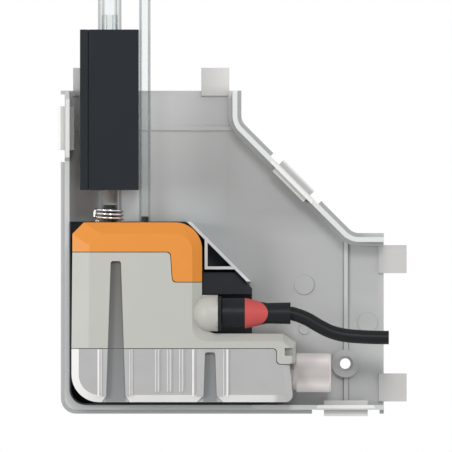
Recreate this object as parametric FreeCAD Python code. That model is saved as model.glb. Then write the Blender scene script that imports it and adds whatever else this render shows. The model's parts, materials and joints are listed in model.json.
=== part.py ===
import FreeCAD, Part
import math
import os

# Condensate pump set inside the back half of an 80 mm trunking elbow, in millimetres.
# X runs to the right along the side arm, Z runs up the top arm, and the wall lies at y = 0.
# Depths are measured from the wall towards the viewer, so a depth d lies at y = -d.
# The origin is where the centre lines of the two arms cross on the wall.

# Elbow base
ARM_HALF = 42.5
ARM_REACH = 109.5
DIAGONAL_RUN = 52.6
DIAGONAL_SUM = 2 * ARM_HALF + DIAGONAL_RUN
FLOOR = 2.0
WALL = 2.3
WALL_DEPTH = 20.0
LEDGE = 1.9
LEDGE_BACK = 9.5
LEDGE_FRONT = 12.0
CORNER_ROUND = 7.3
INNER_ROUND = 7.6
BEND_ROUND = 6.5
SHOULDER = 1.9
SHOULDER_DEPTH = 5.0
LUG_SIZE = 13.2
LUG_STAND = 10.8
LUG_THICK = 2.0
LUG_EDGE_GAP = 1.5
CROSS_RIB_WIDTH = 2.1
CROSS_RIB_RISE = 1.2
CROSS_RIB_INSET = 18.8
BOSS_RADIUS = 6.5
BOSS_RISE = 4.0
SCREW_HOLE_RADIUS = 2.5
COUNTERSINK_RADIUS = 3.7
COUNTERSINK_DEEP = 1.2
SCREW_FROM_END = 18.1
SCREW_ALONG = ARM_REACH - SCREW_FROM_END
SCREW_ACROSS = -19.0
DISC_RADIUS = 4.6
DISC_RISE = 0.35
DISC_CENTRES = ((74.3, 17.2), (102.0, 0.3))
RING_RADIUS = 2.8
RING_CENTRE = (72.2, -2.4)
RING_LINE = 0.5

# Rib frame that closes off the cradle
BRACE_SUM = 66.6
BRACE_THICK = 1.4
BRACE_START = 18.8
BRACE_END = 46.9
BRACE_DEPTH = 20.0
BRACE_POST_X = 25.2
BRACE_BAR_Z = 25.4

# Cover latches
LATCH_LENGTH = 20.6
LATCH_NOTCH = 31.8
LATCH_PAD_PROUD = 3.0
LATCH_PLATE_THICK = 2.1
LATCH_TOP = 16.5
LATCH_GAP = 0.3
LATCH_WINDOW_BACK = 3.4
LATCH_PIN_RADIUS = 0.75
LATCH_PIN_LENGTH = 1.6
LATCH_PIN_DEPTH = 5.0
LATCH_LEFT_FROM_END = 17.7
LATCH_LEFT_Z = ARM_REACH - LATCH_LEFT_FROM_END
LATCH_BOTTOM_FROM_END = 17.9
LATCH_BOTTOM_X = ARM_REACH - LATCH_BOTTOM_FROM_END
LATCH_PAD_ROUND = 1.35

# Cradle tray
CRADLE_FLOOR = 2.0
CRADLE_WALL = 0.8
CRADLE_LIP_DEPTH = 24.0
CRADLE_RIGHT = 47.5
CRADLE_TOP = 47.9
CRADLE_SUM = 64.0
CRADLE_SHELF_DEPTH = 15.0
CRADLE_SHELF_TOP = 24.2
CRADLE_SHELF_SKIN = 1.3

# Detection unit, drawn where it stands in an elbow of the nominal width
UNIT_GAP = 0.3
UNIT_BACK = FLOOR + CRADLE_FLOOR + UNIT_GAP
UNIT_FOOT_LEFT = -37.2
UNIT_DRAFT = 0.4
UNIT_LEFT = UNIT_FOOT_LEFT + UNIT_DRAFT
UNIT_FRONT = 44.0
UNIT_TOP = 47.5
UNIT_CAP_RIGHT = 24.0
UNIT_WALL = 1.8
CAP_CORNER = 5.4
CAP_ROUND = 12.7
CAP_SPLIT_Z = 33.4
CAP_STEP_X = 9.0
CAP_STEP_LEAN = 1.0
CAP_STEP_Z = 19.3
CAP_STEP_ROUND = 1.9
BEVEL_SIDE = 8.0
BEVEL_TOP = 5.4
BEVEL_DEEP = 2.6
BEVEL_RIGHT = 4.6
COVER_BEND_ROUND = 7.0
SEAM = 0.3
FOOT_TOP_Z = -4.7
FOOT_RIGHT = 68.0
FOOT_CHAMFER = 6.0
FOOT_CHAMFER_DROP = 4.0
SPLIT_Z = -11.5
LUG_STEP_X = 59.1
LUG_BOTTOM_Z = -18.9
TANK_BOTTOM = -36.8
TANK_RIGHT = 66.9
TANK_LEFT_ROUND = 13.0
TANK_RIGHT_ROUND = 3.4
TANK_BEVEL = 3.4
GROOVE_DEEP = 3.0
GROOVE_LEFT_X = -16.4
GROOVE_LEFT_TOP = 29.4
GROOVE_RIGHT_X = 27.8
GROOVE_RIGHT_TOP = -13.4
GROOVE_FOOT_Z = -34.1
GROOVE_TOP_HALF = 2.4
GROOVE_SPREAD = 0.034
GROOVE_FOOT_HALF = 7.2
TANK_RIB_XS = (2.8, 8.4, 14.1)
TANK_BAND_XS = ((-25.0, 2.2), (-10.4, 1.9), (19.4, 1.6), (35.3, 1.5))
TANK_BAND_BOTTOM = -33.0
TANK_RIB_WIDTH = 1.7
TANK_RIB_RISE = 0.5
TANK_RIB_TOP = -11.9
TANK_RIB_BOTTOM = -31.6
SNAP_WINDOW = 3.6
SNAP_WINDOW_X = 64.6
SNAP_WINDOW_Z = -13.2
SEAL_THICK = 1.2
SEAL_HEIGHT = 2.0

# Drain inlet
INLET_Z = -23.1
INLET_DEPTH = 25.0
SPIGOT_RADIUS = 7.4
SPIGOT_BORE = 6.0
SPIGOT_END = 76.0
SLEEVE_RADIUS = 9.15
SLEEVE_START = 68.3
SLEEVE_END = 84.6
SLEEVE_MOUTH = 8.0
SLEEVE_ROUND = 0.9

# Float and sensor inside the tank
STEM_X = 4.0
STEM_RADIUS = 2.6
STEM_TOP = 6.0
STEM_FOOT_GAP = 0.3
FLOAT_LENGTH = 30.0
FLOAT_WIDTH = 22.0
FLOAT_HEIGHT = 11.0
FLOAT_BORE_GAP = 0.35
FLOAT_REST_GAP = 0.3
FLOAT_ROUND = 4.0
MAGNET_RADIUS = 5.4
MAGNET_BORE = 3.4
MAGNET_THICK = 3.0
SENSOR_THICK = 1.6
SENSOR_WIDTH = 26.0
SENSOR_CHIP = 9.0
STRAINER_X = 48.0
STRAINER_THICK = 1.6
STRAINER_HEIGHT = 15.0
STRAINER_BARS = 7

# Pump block
PUMP_LEFT = -33.2
PUMP_RIGHT = -5.75
PUMP_AXIS_X = -19.35
PUMP_AXIS_DEPTH = 27.0
PUMP_FRONT_REACH = 19.0
PUMP_BACK = 8.0
PUMP_FRONT = PUMP_AXIS_DEPTH + PUMP_FRONT_REACH
PUMP_BOTTOM = 62.7
PUMP_TOP = 137.9
PUMP_LID = 4.1
PUMP_WALL = 1.6
PAD_THICK = PUMP_BACK - FLOOR - UNIT_GAP
PAD_WIDTH = 20.0

# Flow parts on the pump axis, from the bottom up
BARB_RADIUS = 3.8
BARB_RIDGE = 0.4
BARB_PITCH = 3.2
FLOW_BORE = 1.8
INLET_BARB_END = 56.3
FLANGE_RADIUS = 8.0
FLANGE_THICK = 3.0
NECK_RADIUS = 5.5
BODY_RADIUS = 6.6
INLET_BODY_TOP = 80.0
CHAMBER_RADIUS = 3.0
INLET_SEAT_Z = 69.0
CAGE_THICK = 1.0
CAGE_HOLE = 1.3
INLET_CAGE_Z = 76.0
CYLINDER_RADIUS = 5.0
CYLINDER_WALL = 0.8
CYLINDER_TOP = 123.0
OUTLET_BODY_BOTTOM = 120.0
OUTLET_CHAMBER_TOP = 132.0
OUTLET_BARB_END = 145.0
PISTON_GAP = 0.05
PISTON_BOTTOM = 88.0
PISTON_TOP = 112.0
PISTON_CHAMFER = 0.5
BALL_RADIUS = 2.2
BALL_SEAT_GAP = 0.04
BALL_STEPS = 10
VALVE_WIRE = 0.3
VALVE_COIL = 1.8
VALVE_TURNS = 3.0
SPRING_WIRE = 0.45
SPRING_COIL = 3.3
SPRING_TURNS = 4.0
SPRING_END_GAP = 0.1
COIL_SIDES = 6
COIL_STEPS = 12
BOBBIN_BOTTOM = 84.0
BOBBIN_TOP = 116.0
BOBBIN_FLANGE = 1.4
BOBBIN_TUBE = 0.9
COIL_RADIUS = 10.6
COIL_BORE_GAP = 0.1
YOKE_THICK = 1.5
YOKE_WIDTH = 18.0
DAMPER_RADIUS = 7.5
BOARD_WIDTH = 20.0
BOARD_HEIGHT = 60.0
BOARD_THICK = 1.6
BOARD_STAND = 2.0
BOARD_PEG = 1.2

# Tubes
TUBE_RADIUS = 5.6
TUBE_BORE = 3.5
TUBE_TOP = 158.0
SUCTION_PORT_TOP = 55.7
DIP_RADIUS = 3.2
DIP_FOOT = -31.0
VENT_X = -2.85
VENT_RADIUS = 2.7
VENT_BORE = 2.1
VENT_BARB_TOP = 50.3
CLAMP_WIRE = 0.5
CLAMP_TURNS = 3.0
CLAMP_PITCH = 1.6
CLAMP_FOOT = 48.3
CLAMP_EAR = 0.9

# Socket, plug and cable
PLUG_Z = 4.9
PLUG_DEPTH = 41.0
SOCKET_FACE = 31.4
SOCKET_FLANGE = 1.7
SOCKET_HALF = 7.9
SOCKET_CORE_RADIUS = 4.9
SOCKET_CORE_END = 41.0
DOME_RADIUS = 8.5
DOME_CYLINDER = 3.4
PIN_RADIUS = 0.8
PIN_CIRCLE = 2.6
PIN_COUNT = 3
PIN_START = 33.2
PIN_END = 46.0
PIN_CLEARANCE = 0.08
PLUG_RADIUS = 7.05
PLUG_START = 33.4
PLUG_CORE_BORE = 5.0
PLUG_WAIST = 50.0
PLUG_WAIST_RADIUS = 5.75
PLUG_NECK = 54.5
PLUG_NECK_RADIUS = 4.85
PLUG_END = 65.5
PLUG_END_RADIUS = 5.1
CONTACT_START = 43.0
CONTACT_END = 49.0
CONTACT_RADIUS = 1.5
GRIP_START = 44.1
GRIP_LENGTH = 10.8
GRIP_PROUD = 0.15
GRIP_THICK = 1.0
CABLE_RADIUS = 3.2
CABLE_DEGREE = 2
CABLE_SIDES = 16
CABLE_STEPS = 20
CABLE_ROUTE = (
    (65.5, 4.9),
    (67.9, 4.4),
    (73.4, 2.3),
    (78.6, -1.0),
    (84.5, -4.0),
    (91.0, -5.6),
    (98.9, -6.2),
    (107.1, -6.5),
    (111.6, -6.5),
)

# Shift that keeps the unit, pump, tubes and plug in the corner of a wider or narrower elbow
CORNER_SHIFT = LEDGE + WALL + CRADLE_WALL + UNIT_GAP - ARM_HALF - UNIT_FOOT_LEFT

TINY = 1.0
V = FreeCAD.Vector


def save(name, shape):
    shape.exportStep("parts/" + name + ".step")


def seated(shape):
    """Moves a piece drawn with the unit into the corner of the elbow."""
    shape.translate(V(CORNER_SHIFT, 0, CORNER_SHIFT))
    return shape


def save_seated(name, shape):
    save(name, seated(shape))


def corner_arc(before, corner, after, radius):
    """Tangent points and middle of the round at one corner of an outline."""
    into = (before - corner).normalize()
    out = (after - corner).normalize()
    half = into.getAngle(out) / 2
    reach = radius / math.tan(half)
    middle = (into + out).normalize()
    centre = corner + middle * (radius / math.sin(half))
    return corner + into * reach, centre - middle * radius, corner + out * reach


def outline(points, radii=None):
    """Closed wire in the wall plane through (x, z) points, each with its round."""
    corners = [V(x, 0, z) for x, z in points]
    rounds = radii or [0] * len(corners)
    edges = []
    ends = []
    for index, corner in enumerate(corners):
        if rounds[index] > 0:
            before = corners[index - 1]
            after = corners[(index + 1) % len(corners)]
            start, middle, end = corner_arc(before, corner, after, rounds[index])
            ends.append((start, end, Part.Arc(start, middle, end).toShape()))
        else:
            ends.append((corner, corner, None))
    for index, (start, end, arc) in enumerate(ends):
        if arc:
            edges.append(arc)
        following = ends[(index + 1) % len(ends)][0]
        if end.distanceToPoint(following) > 1e-6:
            edges.append(Part.LineSegment(end, following).toShape())
    return Part.Wire(edges)


def prism(wire, near, far):
    """Solid between two depths from the wall."""
    solid = Part.Face(wire).extrude(V(0, near - far, 0))
    solid.translate(V(0, -near, 0))
    return solid


def block(x0, x1, near, far, z0, z1):
    return Part.makeBox(x1 - x0, far - near, z1 - z0, V(x0, -far, z0))


def rod(x, depth, z0, z1, radius):
    return Part.makeCylinder(radius, z1 - z0, V(x, -depth, z0), V(0, 0, 1))


def ring(x, depth, z0, z1, radius, bore):
    return rod(x, depth, z0, z1, radius).cut(rod(x, depth, z0 - TINY, z1 + TINY, bore))


def spigot(x0, x1, depth, z, radius):
    return Part.makeCylinder(radius, x1 - x0, V(x0, -depth, z), V(1, 0, 0))


def revolve_up(x, depth, profile):
    """Solid of revolution about a vertical axis from (radius, z) points."""
    points = [V(x + radius, -depth, z) for radius, z in profile]
    wire = Part.makePolygon(points + points[:1])
    return Part.Face(wire).revolve(V(x, -depth, 0), V(0, 0, 1), 360)


def revolve_along(depth, z, profile):
    """Solid of revolution about a level axis along X from (x, radius) points."""
    points = [V(x, -depth, z + radius) for x, radius in profile]
    wire = Part.makePolygon(points + points[:1])
    return Part.Face(wire).revolve(V(0, -depth, z), V(1, 0, 0), 360)


def coil_section(angle, radius, z, wire_radius):
    """Many-sided wire section that stands across the winding direction."""
    along = V(math.cos(angle), math.sin(angle), 0)
    corners = []
    for side in range(COIL_SIDES):
        turn = 2 * math.pi * side / COIL_SIDES
        lift = V(0, 0, z + wire_radius * math.sin(turn))
        corners.append(along * (radius + wire_radius * math.cos(turn)) + lift)
    return Part.makePolygon(corners + corners[:1])


def coil(x, depth, z0, z1, turns, radius, wire_radius):
    """Wire wound on a helix whose outer faces lie between z0 and z1."""
    steps = int(turns * COIL_STEPS)
    height = z1 - z0 - 2 * wire_radius
    sections = []
    for step in range(steps + 1):
        share = step / steps
        level = z0 + wire_radius + height * share
        sections.append(coil_section(2 * math.pi * turns * share, radius, level, wire_radius))
    spring = Part.makeLoft(sections, True, True)
    spring.translate(V(x, -depth, 0))
    return spring


def barb(x, depth, z0, z1, radius, ridge, pitch, points_up):
    """Row of ridges, each a short cone that points into the tube."""
    profile = [(0, z0), (radius - ridge, z0)]
    count = max(1, int((z1 - z0) / pitch))
    step = (z1 - z0) / count
    for index in range(count):
        foot = z0 + index * step
        head = foot + step
        wide = foot if points_up else head
        narrow = head if points_up else foot
        pair = [(radius, wide), (radius - ridge, narrow)]
        profile += pair if points_up else pair[::-1]
    profile.append((0, z1))
    return revolve_up(x, depth, [profile[0]] + merge_points(profile[1:]))


def hose_end(low, high, points_up):
    """Barb on the pump axis that holds a clear tube."""
    return barb(PUMP_AXIS_X, PUMP_AXIS_DEPTH, low, high, BARB_RADIUS, BARB_RIDGE, BARB_PITCH, points_up)


def merge_points(points):
    kept = []
    for point in points:
        if not kept or abs(point[0] - kept[-1][0]) + abs(point[1] - kept[-1][1]) > 1e-6:
            kept.append(point)
    return kept


def corner_round(inset):
    """Radius of the elbow's closed corner; the inner face is about as round as the outer one."""
    return INNER_ROUND if inset > LEDGE + WALL - TINY else CORNER_ROUND - inset


def elbow_outline(inset, spare=0.0):
    """Elbow outline moved inwards by inset; spare runs the arms on past their ends."""
    half = ARM_HALF - inset
    reach = ARM_REACH + spare
    bend = DIAGONAL_SUM - inset * math.sqrt(2) - half
    points = [
        (-half, -half),
        (reach, -half),
        (reach, half),
        (bend, half),
        (half, bend),
        (half, reach),
        (-half, reach),
    ]
    radii = [corner_round(inset), 0, 0, BEND_ROUND + inset, BEND_ROUND + inset, 0, 0]
    return outline(points, radii)


def elbow_band(outer, inner, near, far):
    """Wall that follows the elbow's sides and stays open at both arm ends."""
    space = prism(elbow_outline(inner, TINY), near - TINY, far + TINY)
    return prism(elbow_outline(outer), near, far).cut(space)


def diagonal_place(shape):
    """Turns a latch part made along X, outside towards +Z, onto the diagonal side."""
    middle = DIAGONAL_SUM / 2
    shape.rotate(V(0, 0, 0), V(0, 1, 0), 45)
    shape.translate(V(middle, 0, middle))
    return shape


def bottom_place(shape):
    shape.rotate(V(0, 0, 0), V(0, 1, 0), 180)
    shape.translate(V(LATCH_BOTTOM_X, 0, -ARM_HALF))
    return shape


def left_place(shape):
    shape.rotate(V(0, 0, 0), V(0, 1, 0), -90)
    shape.translate(V(-ARM_HALF, 0, LATCH_LEFT_Z))
    return shape


LATCH_PLACES = {"left": left_place, "diagonal": diagonal_place, "bottom": bottom_place}


def latch_window():
    """Opening in one side for a latch: ledge gap, wall window and the pin holes."""
    half = LATCH_NOTCH / 2
    gap = block(-half, half, LEDGE_BACK - TINY, LEDGE_FRONT + TINY, -LEDGE, TINY)
    reach = LATCH_LENGTH / 2 + LATCH_GAP
    foot = -LEDGE - WALL - TINY
    window = block(-reach, reach, LATCH_WINDOW_BACK, LATCH_TOP + LATCH_GAP, foot, TINY)
    pin_half = LATCH_LENGTH / 2 + LATCH_PIN_LENGTH + LATCH_GAP
    centre = V(-pin_half, -LATCH_PIN_DEPTH, -LEDGE - WALL / 2)
    holes = Part.makeCylinder(LATCH_PIN_RADIUS + PISTON_GAP, 2 * pin_half, centre, V(1, 0, 0))
    return gap.fuse(window).fuse(holes)


def cover_latch():
    """Snap latch: round outer pad, neck through the wall, inner plate and pivot pins."""
    half = LATCH_LENGTH / 2
    outer = -LEDGE + LATCH_PAD_PROUD
    inner = -LEDGE - WALL
    foot = LATCH_PIN_DEPTH - LATCH_PIN_RADIUS
    neck = block(-half, half, foot, LATCH_TOP, inner, -LEDGE)
    pad = block(-half, half, foot + 2 * LATCH_PIN_RADIUS, LATCH_TOP, -LEDGE, outer)
    long_edges = [edge for edge in pad.Edges if edge.BoundBox.XLength > half]
    pad = pad.makeFillet(LATCH_PAD_ROUND, [edge for edge in long_edges if edge.BoundBox.ZMin > 0])
    plate = block(-half, half, foot + 2 * LATCH_PIN_RADIUS, LATCH_TOP, inner - LATCH_PLATE_THICK, inner)
    pin_half = half + LATCH_PIN_LENGTH
    centre = V(-pin_half, -LATCH_PIN_DEPTH, -LEDGE - WALL / 2)
    pins = Part.makeCylinder(LATCH_PIN_RADIUS, 2 * pin_half, centre, V(1, 0, 0))
    return neck.fuse([pad, plate, pins]).removeSplitter()


def joining_lugs():
    """Flat tongues at both open ends that slide into the straight trunking."""
    inner = ARM_HALF - LEDGE - WALL
    near = FLOOR
    far = FLOOR + LUG_THICK
    end = ARM_REACH + LUG_STAND
    start = end - LUG_SIZE
    places = [-inner + LUG_EDGE_GAP, inner - LUG_EDGE_GAP - LUG_SIZE]
    lugs = []
    for place in places:
        lugs.append(block(start, end, near, far, place, place + LUG_SIZE))
        lugs.append(block(place, place + LUG_SIZE, near, far, start, end))
    return lugs


def elbow_brace():
    """Rib frame outside the cradle: a slanted rib with a post and a bar."""
    span = BRACE_THICK * math.sqrt(2)
    points = [
        (BRACE_START, BRACE_SUM - BRACE_START),
        (BRACE_END, BRACE_SUM - BRACE_END),
        (BRACE_END - span, BRACE_SUM - BRACE_END),
        (BRACE_START - span, BRACE_SUM - BRACE_START),
    ]
    slanted = prism(outline(points), FLOOR, BRACE_DEPTH)
    lift = FLOOR + CRADLE_FLOOR + UNIT_GAP
    corner = BRACE_SUM - BRACE_BAR_Z - span / 2
    bar = block(BRACE_POST_X, corner, lift, BRACE_DEPTH, BRACE_BAR_Z, BRACE_BAR_Z + BRACE_THICK)
    top = BRACE_SUM - BRACE_POST_X - span / 2
    post = block(BRACE_POST_X, BRACE_POST_X + BRACE_THICK, lift, BRACE_DEPTH, BRACE_BAR_Z, top)
    return slanted.fuse([bar, post]).removeSplitter()


def outward(x, z, start, length, radius, end_radius=None):
    """Round or tapered peg on an axis square to the wall, from a depth towards the viewer."""
    place = V(x, -start, z)
    if end_radius is None:
        return Part.makeCylinder(radius, length, place, V(0, -1, 0))
    return Part.makeCone(radius, end_radius, length, place, V(0, -1, 0))


def elbow_base():
    """Floor of the elbow's back half, with its low ribs, screw bosses, marks and tongues."""
    skin = LEDGE + WALL
    base = prism(elbow_outline(skin), 0, FLOOR)
    inside = ARM_HALF - skin
    low = ARM_REACH - CROSS_RIB_INSET
    rise = FLOOR + CROSS_RIB_RISE
    bar_top = block(-inside, inside, FLOOR / 2, rise, low, low + CROSS_RIB_WIDTH)
    bar_right = block(low, low + CROSS_RIB_WIDTH, FLOOR / 2, rise, -inside, inside)
    shoulder = elbow_band(skin, skin + SHOULDER, FLOOR / 2, SHOULDER_DEPTH)
    shoulder = shoulder.common(block(0, ARM_REACH, 0, WALL_DEPTH, 0, ARM_REACH))
    base = base.fuse([bar_top, bar_right, shoulder] + joining_lugs())
    top = FLOOR + BOSS_RISE
    sink_start = top - COUNTERSINK_DEEP
    for x, z in ((SCREW_ALONG, SCREW_ACROSS), (SCREW_ACROSS, SCREW_ALONG)):
        base = base.fuse(outward(x, z, FLOOR / 2, top - FLOOR / 2, BOSS_RADIUS))
        base = base.cut(outward(x, z, -TINY, top + 2 * TINY, SCREW_HOLE_RADIUS))
        base = base.cut(outward(x, z, sink_start, COUNTERSINK_DEEP, SCREW_HOLE_RADIUS, COUNTERSINK_RADIUS))
    for x, z in DISC_CENTRES:
        base = base.fuse(outward(x, z, FLOOR - DISC_RISE, 2 * DISC_RISE, DISC_RADIUS))
    x, z = RING_CENTRE
    mark = outward(x, z, FLOOR - DISC_RISE, 2 * DISC_RISE, RING_RADIUS)
    mark = mark.cut(outward(x, z, FLOOR, 2 * DISC_RISE, RING_RADIUS - RING_LINE))
    return base.fuse(mark).removeSplitter()


def elbow_walls():
    """Side walls of the elbow with the ledge for the front half and the latch windows."""
    walls = elbow_band(LEDGE, LEDGE + WALL, 0, WALL_DEPTH)
    walls = walls.fuse(elbow_band(0, LEDGE + WALL / 2, LEDGE_BACK, LEDGE_FRONT))
    for place in LATCH_PLACES.values():
        walls = walls.cut(place(latch_window()))
    return walls.removeSplitter()


def cradle():
    """Black tray that the detection unit stands in, with a side wall and a socket shelf."""
    left = UNIT_FOOT_LEFT - UNIT_GAP - CRADLE_WALL
    near = FLOOR
    low = PLUG_Z + DOME_RADIUS + UNIT_GAP
    skin = CRADLE_SHELF_SKIN
    points = [
        (left, left),
        (CRADLE_RIGHT, left),
        (CRADLE_RIGHT, CRADLE_SUM - CRADLE_RIGHT),
        (CRADLE_SUM - CRADLE_TOP, CRADLE_TOP),
        (left, CRADLE_TOP),
    ]
    corner = INNER_ROUND
    tray = prism(outline(points, [corner, 0, 0, 0, 0]), near, near + CRADLE_FLOOR)
    square = [(left, left), (CRADLE_RIGHT, left), (CRADLE_RIGHT, CRADLE_TOP), (left, CRADLE_TOP)]
    band = outline(square, [corner, 0, 0, 0])
    inside = left + CRADLE_WALL
    far, high = CRADLE_RIGHT + TINY, CRADLE_TOP + TINY
    corners = [(inside, inside), (far, inside), (far, high), (inside, high)]
    opening = outline(corners, [corner - CRADLE_WALL, 0, 0, 0])
    walls = prism(band, near, CRADLE_LIP_DEPTH).cut(prism(opening, near, CRADLE_LIP_DEPTH + TINY))
    shelf_left = UNIT_CAP_RIGHT + UNIT_GAP
    shelf_points = [
        (shelf_left, low),
        (CRADLE_RIGHT, low),
        (CRADLE_RIGHT, CRADLE_SUM - CRADLE_RIGHT),
        (CRADLE_SUM - CRADLE_SHELF_TOP, CRADLE_SHELF_TOP),
        (shelf_left, CRADLE_SHELF_TOP),
    ]
    shelf = prism(outline(shelf_points), near, CRADLE_SHELF_DEPTH)
    inner_points = [
        (shelf_left + skin, low - TINY),
        (CRADLE_RIGHT - skin, low - TINY),
        (CRADLE_RIGHT - skin, CRADLE_SUM - CRADLE_RIGHT - skin),
        (CRADLE_SUM - CRADLE_SHELF_TOP - skin, CRADLE_SHELF_TOP - skin),
        (shelf_left + skin, CRADLE_SHELF_TOP - skin),
    ]
    recess = prism(outline(inner_points), near + CRADLE_FLOOR, CRADLE_SHELF_DEPTH - skin)
    return tray.fuse([walls, shelf.cut(recess)]).removeSplitter()


def cap_points(inset_left, inset_top, inset_right):
    corner = CAP_CORNER
    left = UNIT_LEFT + inset_left
    top = UNIT_TOP - inset_top
    right = UNIT_CAP_RIGHT - inset_right
    lean = CAP_STEP_X + CAP_STEP_LEAN
    low = CAP_SPLIT_Z + SEAM
    step = CAP_STEP_Z + SEAM
    points = [
        (left, low),
        (left, top - corner),
        (left + corner, top),
        (right, top),
        (right, step),
        (lean + SEAM, step),
        (CAP_STEP_X + SEAM, low),
    ]
    radii = [0, 0, 0, CAP_ROUND - inset_right, 0, CAP_STEP_ROUND, CAP_STEP_ROUND]
    return points, radii


def cover_points(inset_left, inset_foot, inset_right):
    lean = CAP_STEP_X + CAP_STEP_LEAN
    foot = FOOT_TOP_Z - inset_foot
    right = UNIT_CAP_RIGHT - inset_right
    end = FOOT_RIGHT - inset_foot / 2
    points = [
        (UNIT_FOOT_LEFT + inset_left, SPLIT_Z),
        (UNIT_LEFT + inset_left, CAP_SPLIT_Z),
        (CAP_STEP_X, CAP_SPLIT_Z),
        (lean, CAP_STEP_Z),
        (right, CAP_STEP_Z),
        (right, foot),
        (FOOT_RIGHT - FOOT_CHAMFER, foot),
        (end, foot - FOOT_CHAMFER_DROP),
        (end, LUG_BOTTOM_Z),
        (LUG_STEP_X, LUG_BOTTOM_Z),
        (LUG_STEP_X, SPLIT_Z),
    ]
    step = CAP_STEP_ROUND
    return points, [0, 0, step, step, 0, COVER_BEND_ROUND, 0, 0, UNIT_WALL, step, step]


def tank_points(inset):
    points = [
        (UNIT_FOOT_LEFT + inset, SPLIT_Z - SEAM),
        (LUG_STEP_X - SEAM, SPLIT_Z - SEAM),
        (LUG_STEP_X - SEAM, LUG_BOTTOM_Z - SEAM),
        (TANK_RIGHT - inset - UNIT_WALL, LUG_BOTTOM_Z - SEAM),
        (TANK_RIGHT - inset, TANK_BOTTOM + inset),
        (UNIT_FOOT_LEFT + inset, TANK_BOTTOM + inset),
    ]
    round_right = max(TANK_RIGHT_ROUND - inset / 2, UNIT_WALL)
    return points, [0, CAP_STEP_ROUND, CAP_STEP_ROUND, 0, round_right, TANK_LEFT_ROUND - inset]


def moulded(full, inset):
    """Moulded housing part: straight sides, then a bevel to the inset front face."""
    bend = UNIT_FRONT - BEVEL_DEEP
    sides = prism(outline(*full), UNIT_BACK, bend)
    lower = outline(*full)
    lower.translate(V(0, -bend, 0))
    upper = outline(*inset)
    upper.translate(V(0, -UNIT_FRONT, 0))
    return sides.fuse(Part.makeLoft([lower, upper], True, True)).removeSplitter()


def hollow_of(full):
    """Space inside a housing part, one wall in from its outline."""
    face = Part.Face(outline(*full)).makeOffset2D(-UNIT_WALL, 2)
    near = UNIT_BACK + UNIT_WALL
    far = UNIT_FRONT - BEVEL_DEEP - UNIT_WALL
    solid = face.extrude(V(0, near - far, 0))
    solid.translate(V(0, -near, 0))
    return solid


def hollow_block(x0, x1, z0, z1):
    return block(x0, x1, UNIT_BACK + UNIT_WALL, UNIT_FRONT - BEVEL_DEEP - UNIT_WALL, z0, z1)


def groove(middle, top):
    """Tapered recess in the front that widens downwards, with a wider foot."""
    near = UNIT_FRONT - GROOVE_DEEP
    far = UNIT_FRONT + TINY
    low = GROOVE_TOP_HALF + (top - GROOVE_FOOT_Z) * GROOVE_SPREAD
    points = [
        (middle - low, GROOVE_FOOT_Z),
        (middle + low, GROOVE_FOOT_Z),
        (middle + GROOVE_TOP_HALF, top),
        (middle - GROOVE_TOP_HALF, top),
    ]
    rounds = [0, 0, GROOVE_TOP_HALF / 2, GROOVE_TOP_HALF / 2]
    slot = prism(outline(points, rounds), near, far)
    foot_points = [
        (middle - low, GROOVE_FOOT_Z + TINY / 2),
        (middle - GROOVE_FOOT_HALF, TANK_BOTTOM - TINY),
        (middle + GROOVE_FOOT_HALF, TANK_BOTTOM - TINY),
        (middle + low, GROOVE_FOOT_Z + TINY / 2),
    ]
    return slot.fuse(prism(outline(foot_points), near, far))


def grooves():
    left = groove(GROOVE_LEFT_X, GROOVE_LEFT_TOP)
    right = groove(GROOVE_RIGHT_X, GROOVE_RIGHT_TOP)
    return left.fuse(right)


def opened(shape, left, right, low, high):
    """Opens a housing part to its neighbour, one wall in from its own sides."""
    return shape.cut(hollow_block(left + UNIT_WALL, right - UNIT_WALL, low, high))


def unit_cap():
    """Orange cap with holes for the suction port and the vent spigot."""
    full = cap_points(0, 0, 0)
    cap = moulded(full, cap_points(BEVEL_SIDE, BEVEL_TOP, BEVEL_RIGHT))
    cap = cap.cut(hollow_of(full))
    cap = opened(cap, UNIT_LEFT, CAP_STEP_X, CAP_SPLIT_Z - TINY, CAP_SPLIT_Z + 2 * UNIT_WALL)
    for x, radius in ((PUMP_AXIS_X, BARB_RADIUS), (VENT_X, VENT_BORE)):
        cap = cap.cut(rod(x, PUMP_AXIS_DEPTH, UNIT_TOP - 2 * UNIT_WALL, UNIT_TOP + TINY, radius))
    return cap.removeSplitter()


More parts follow.
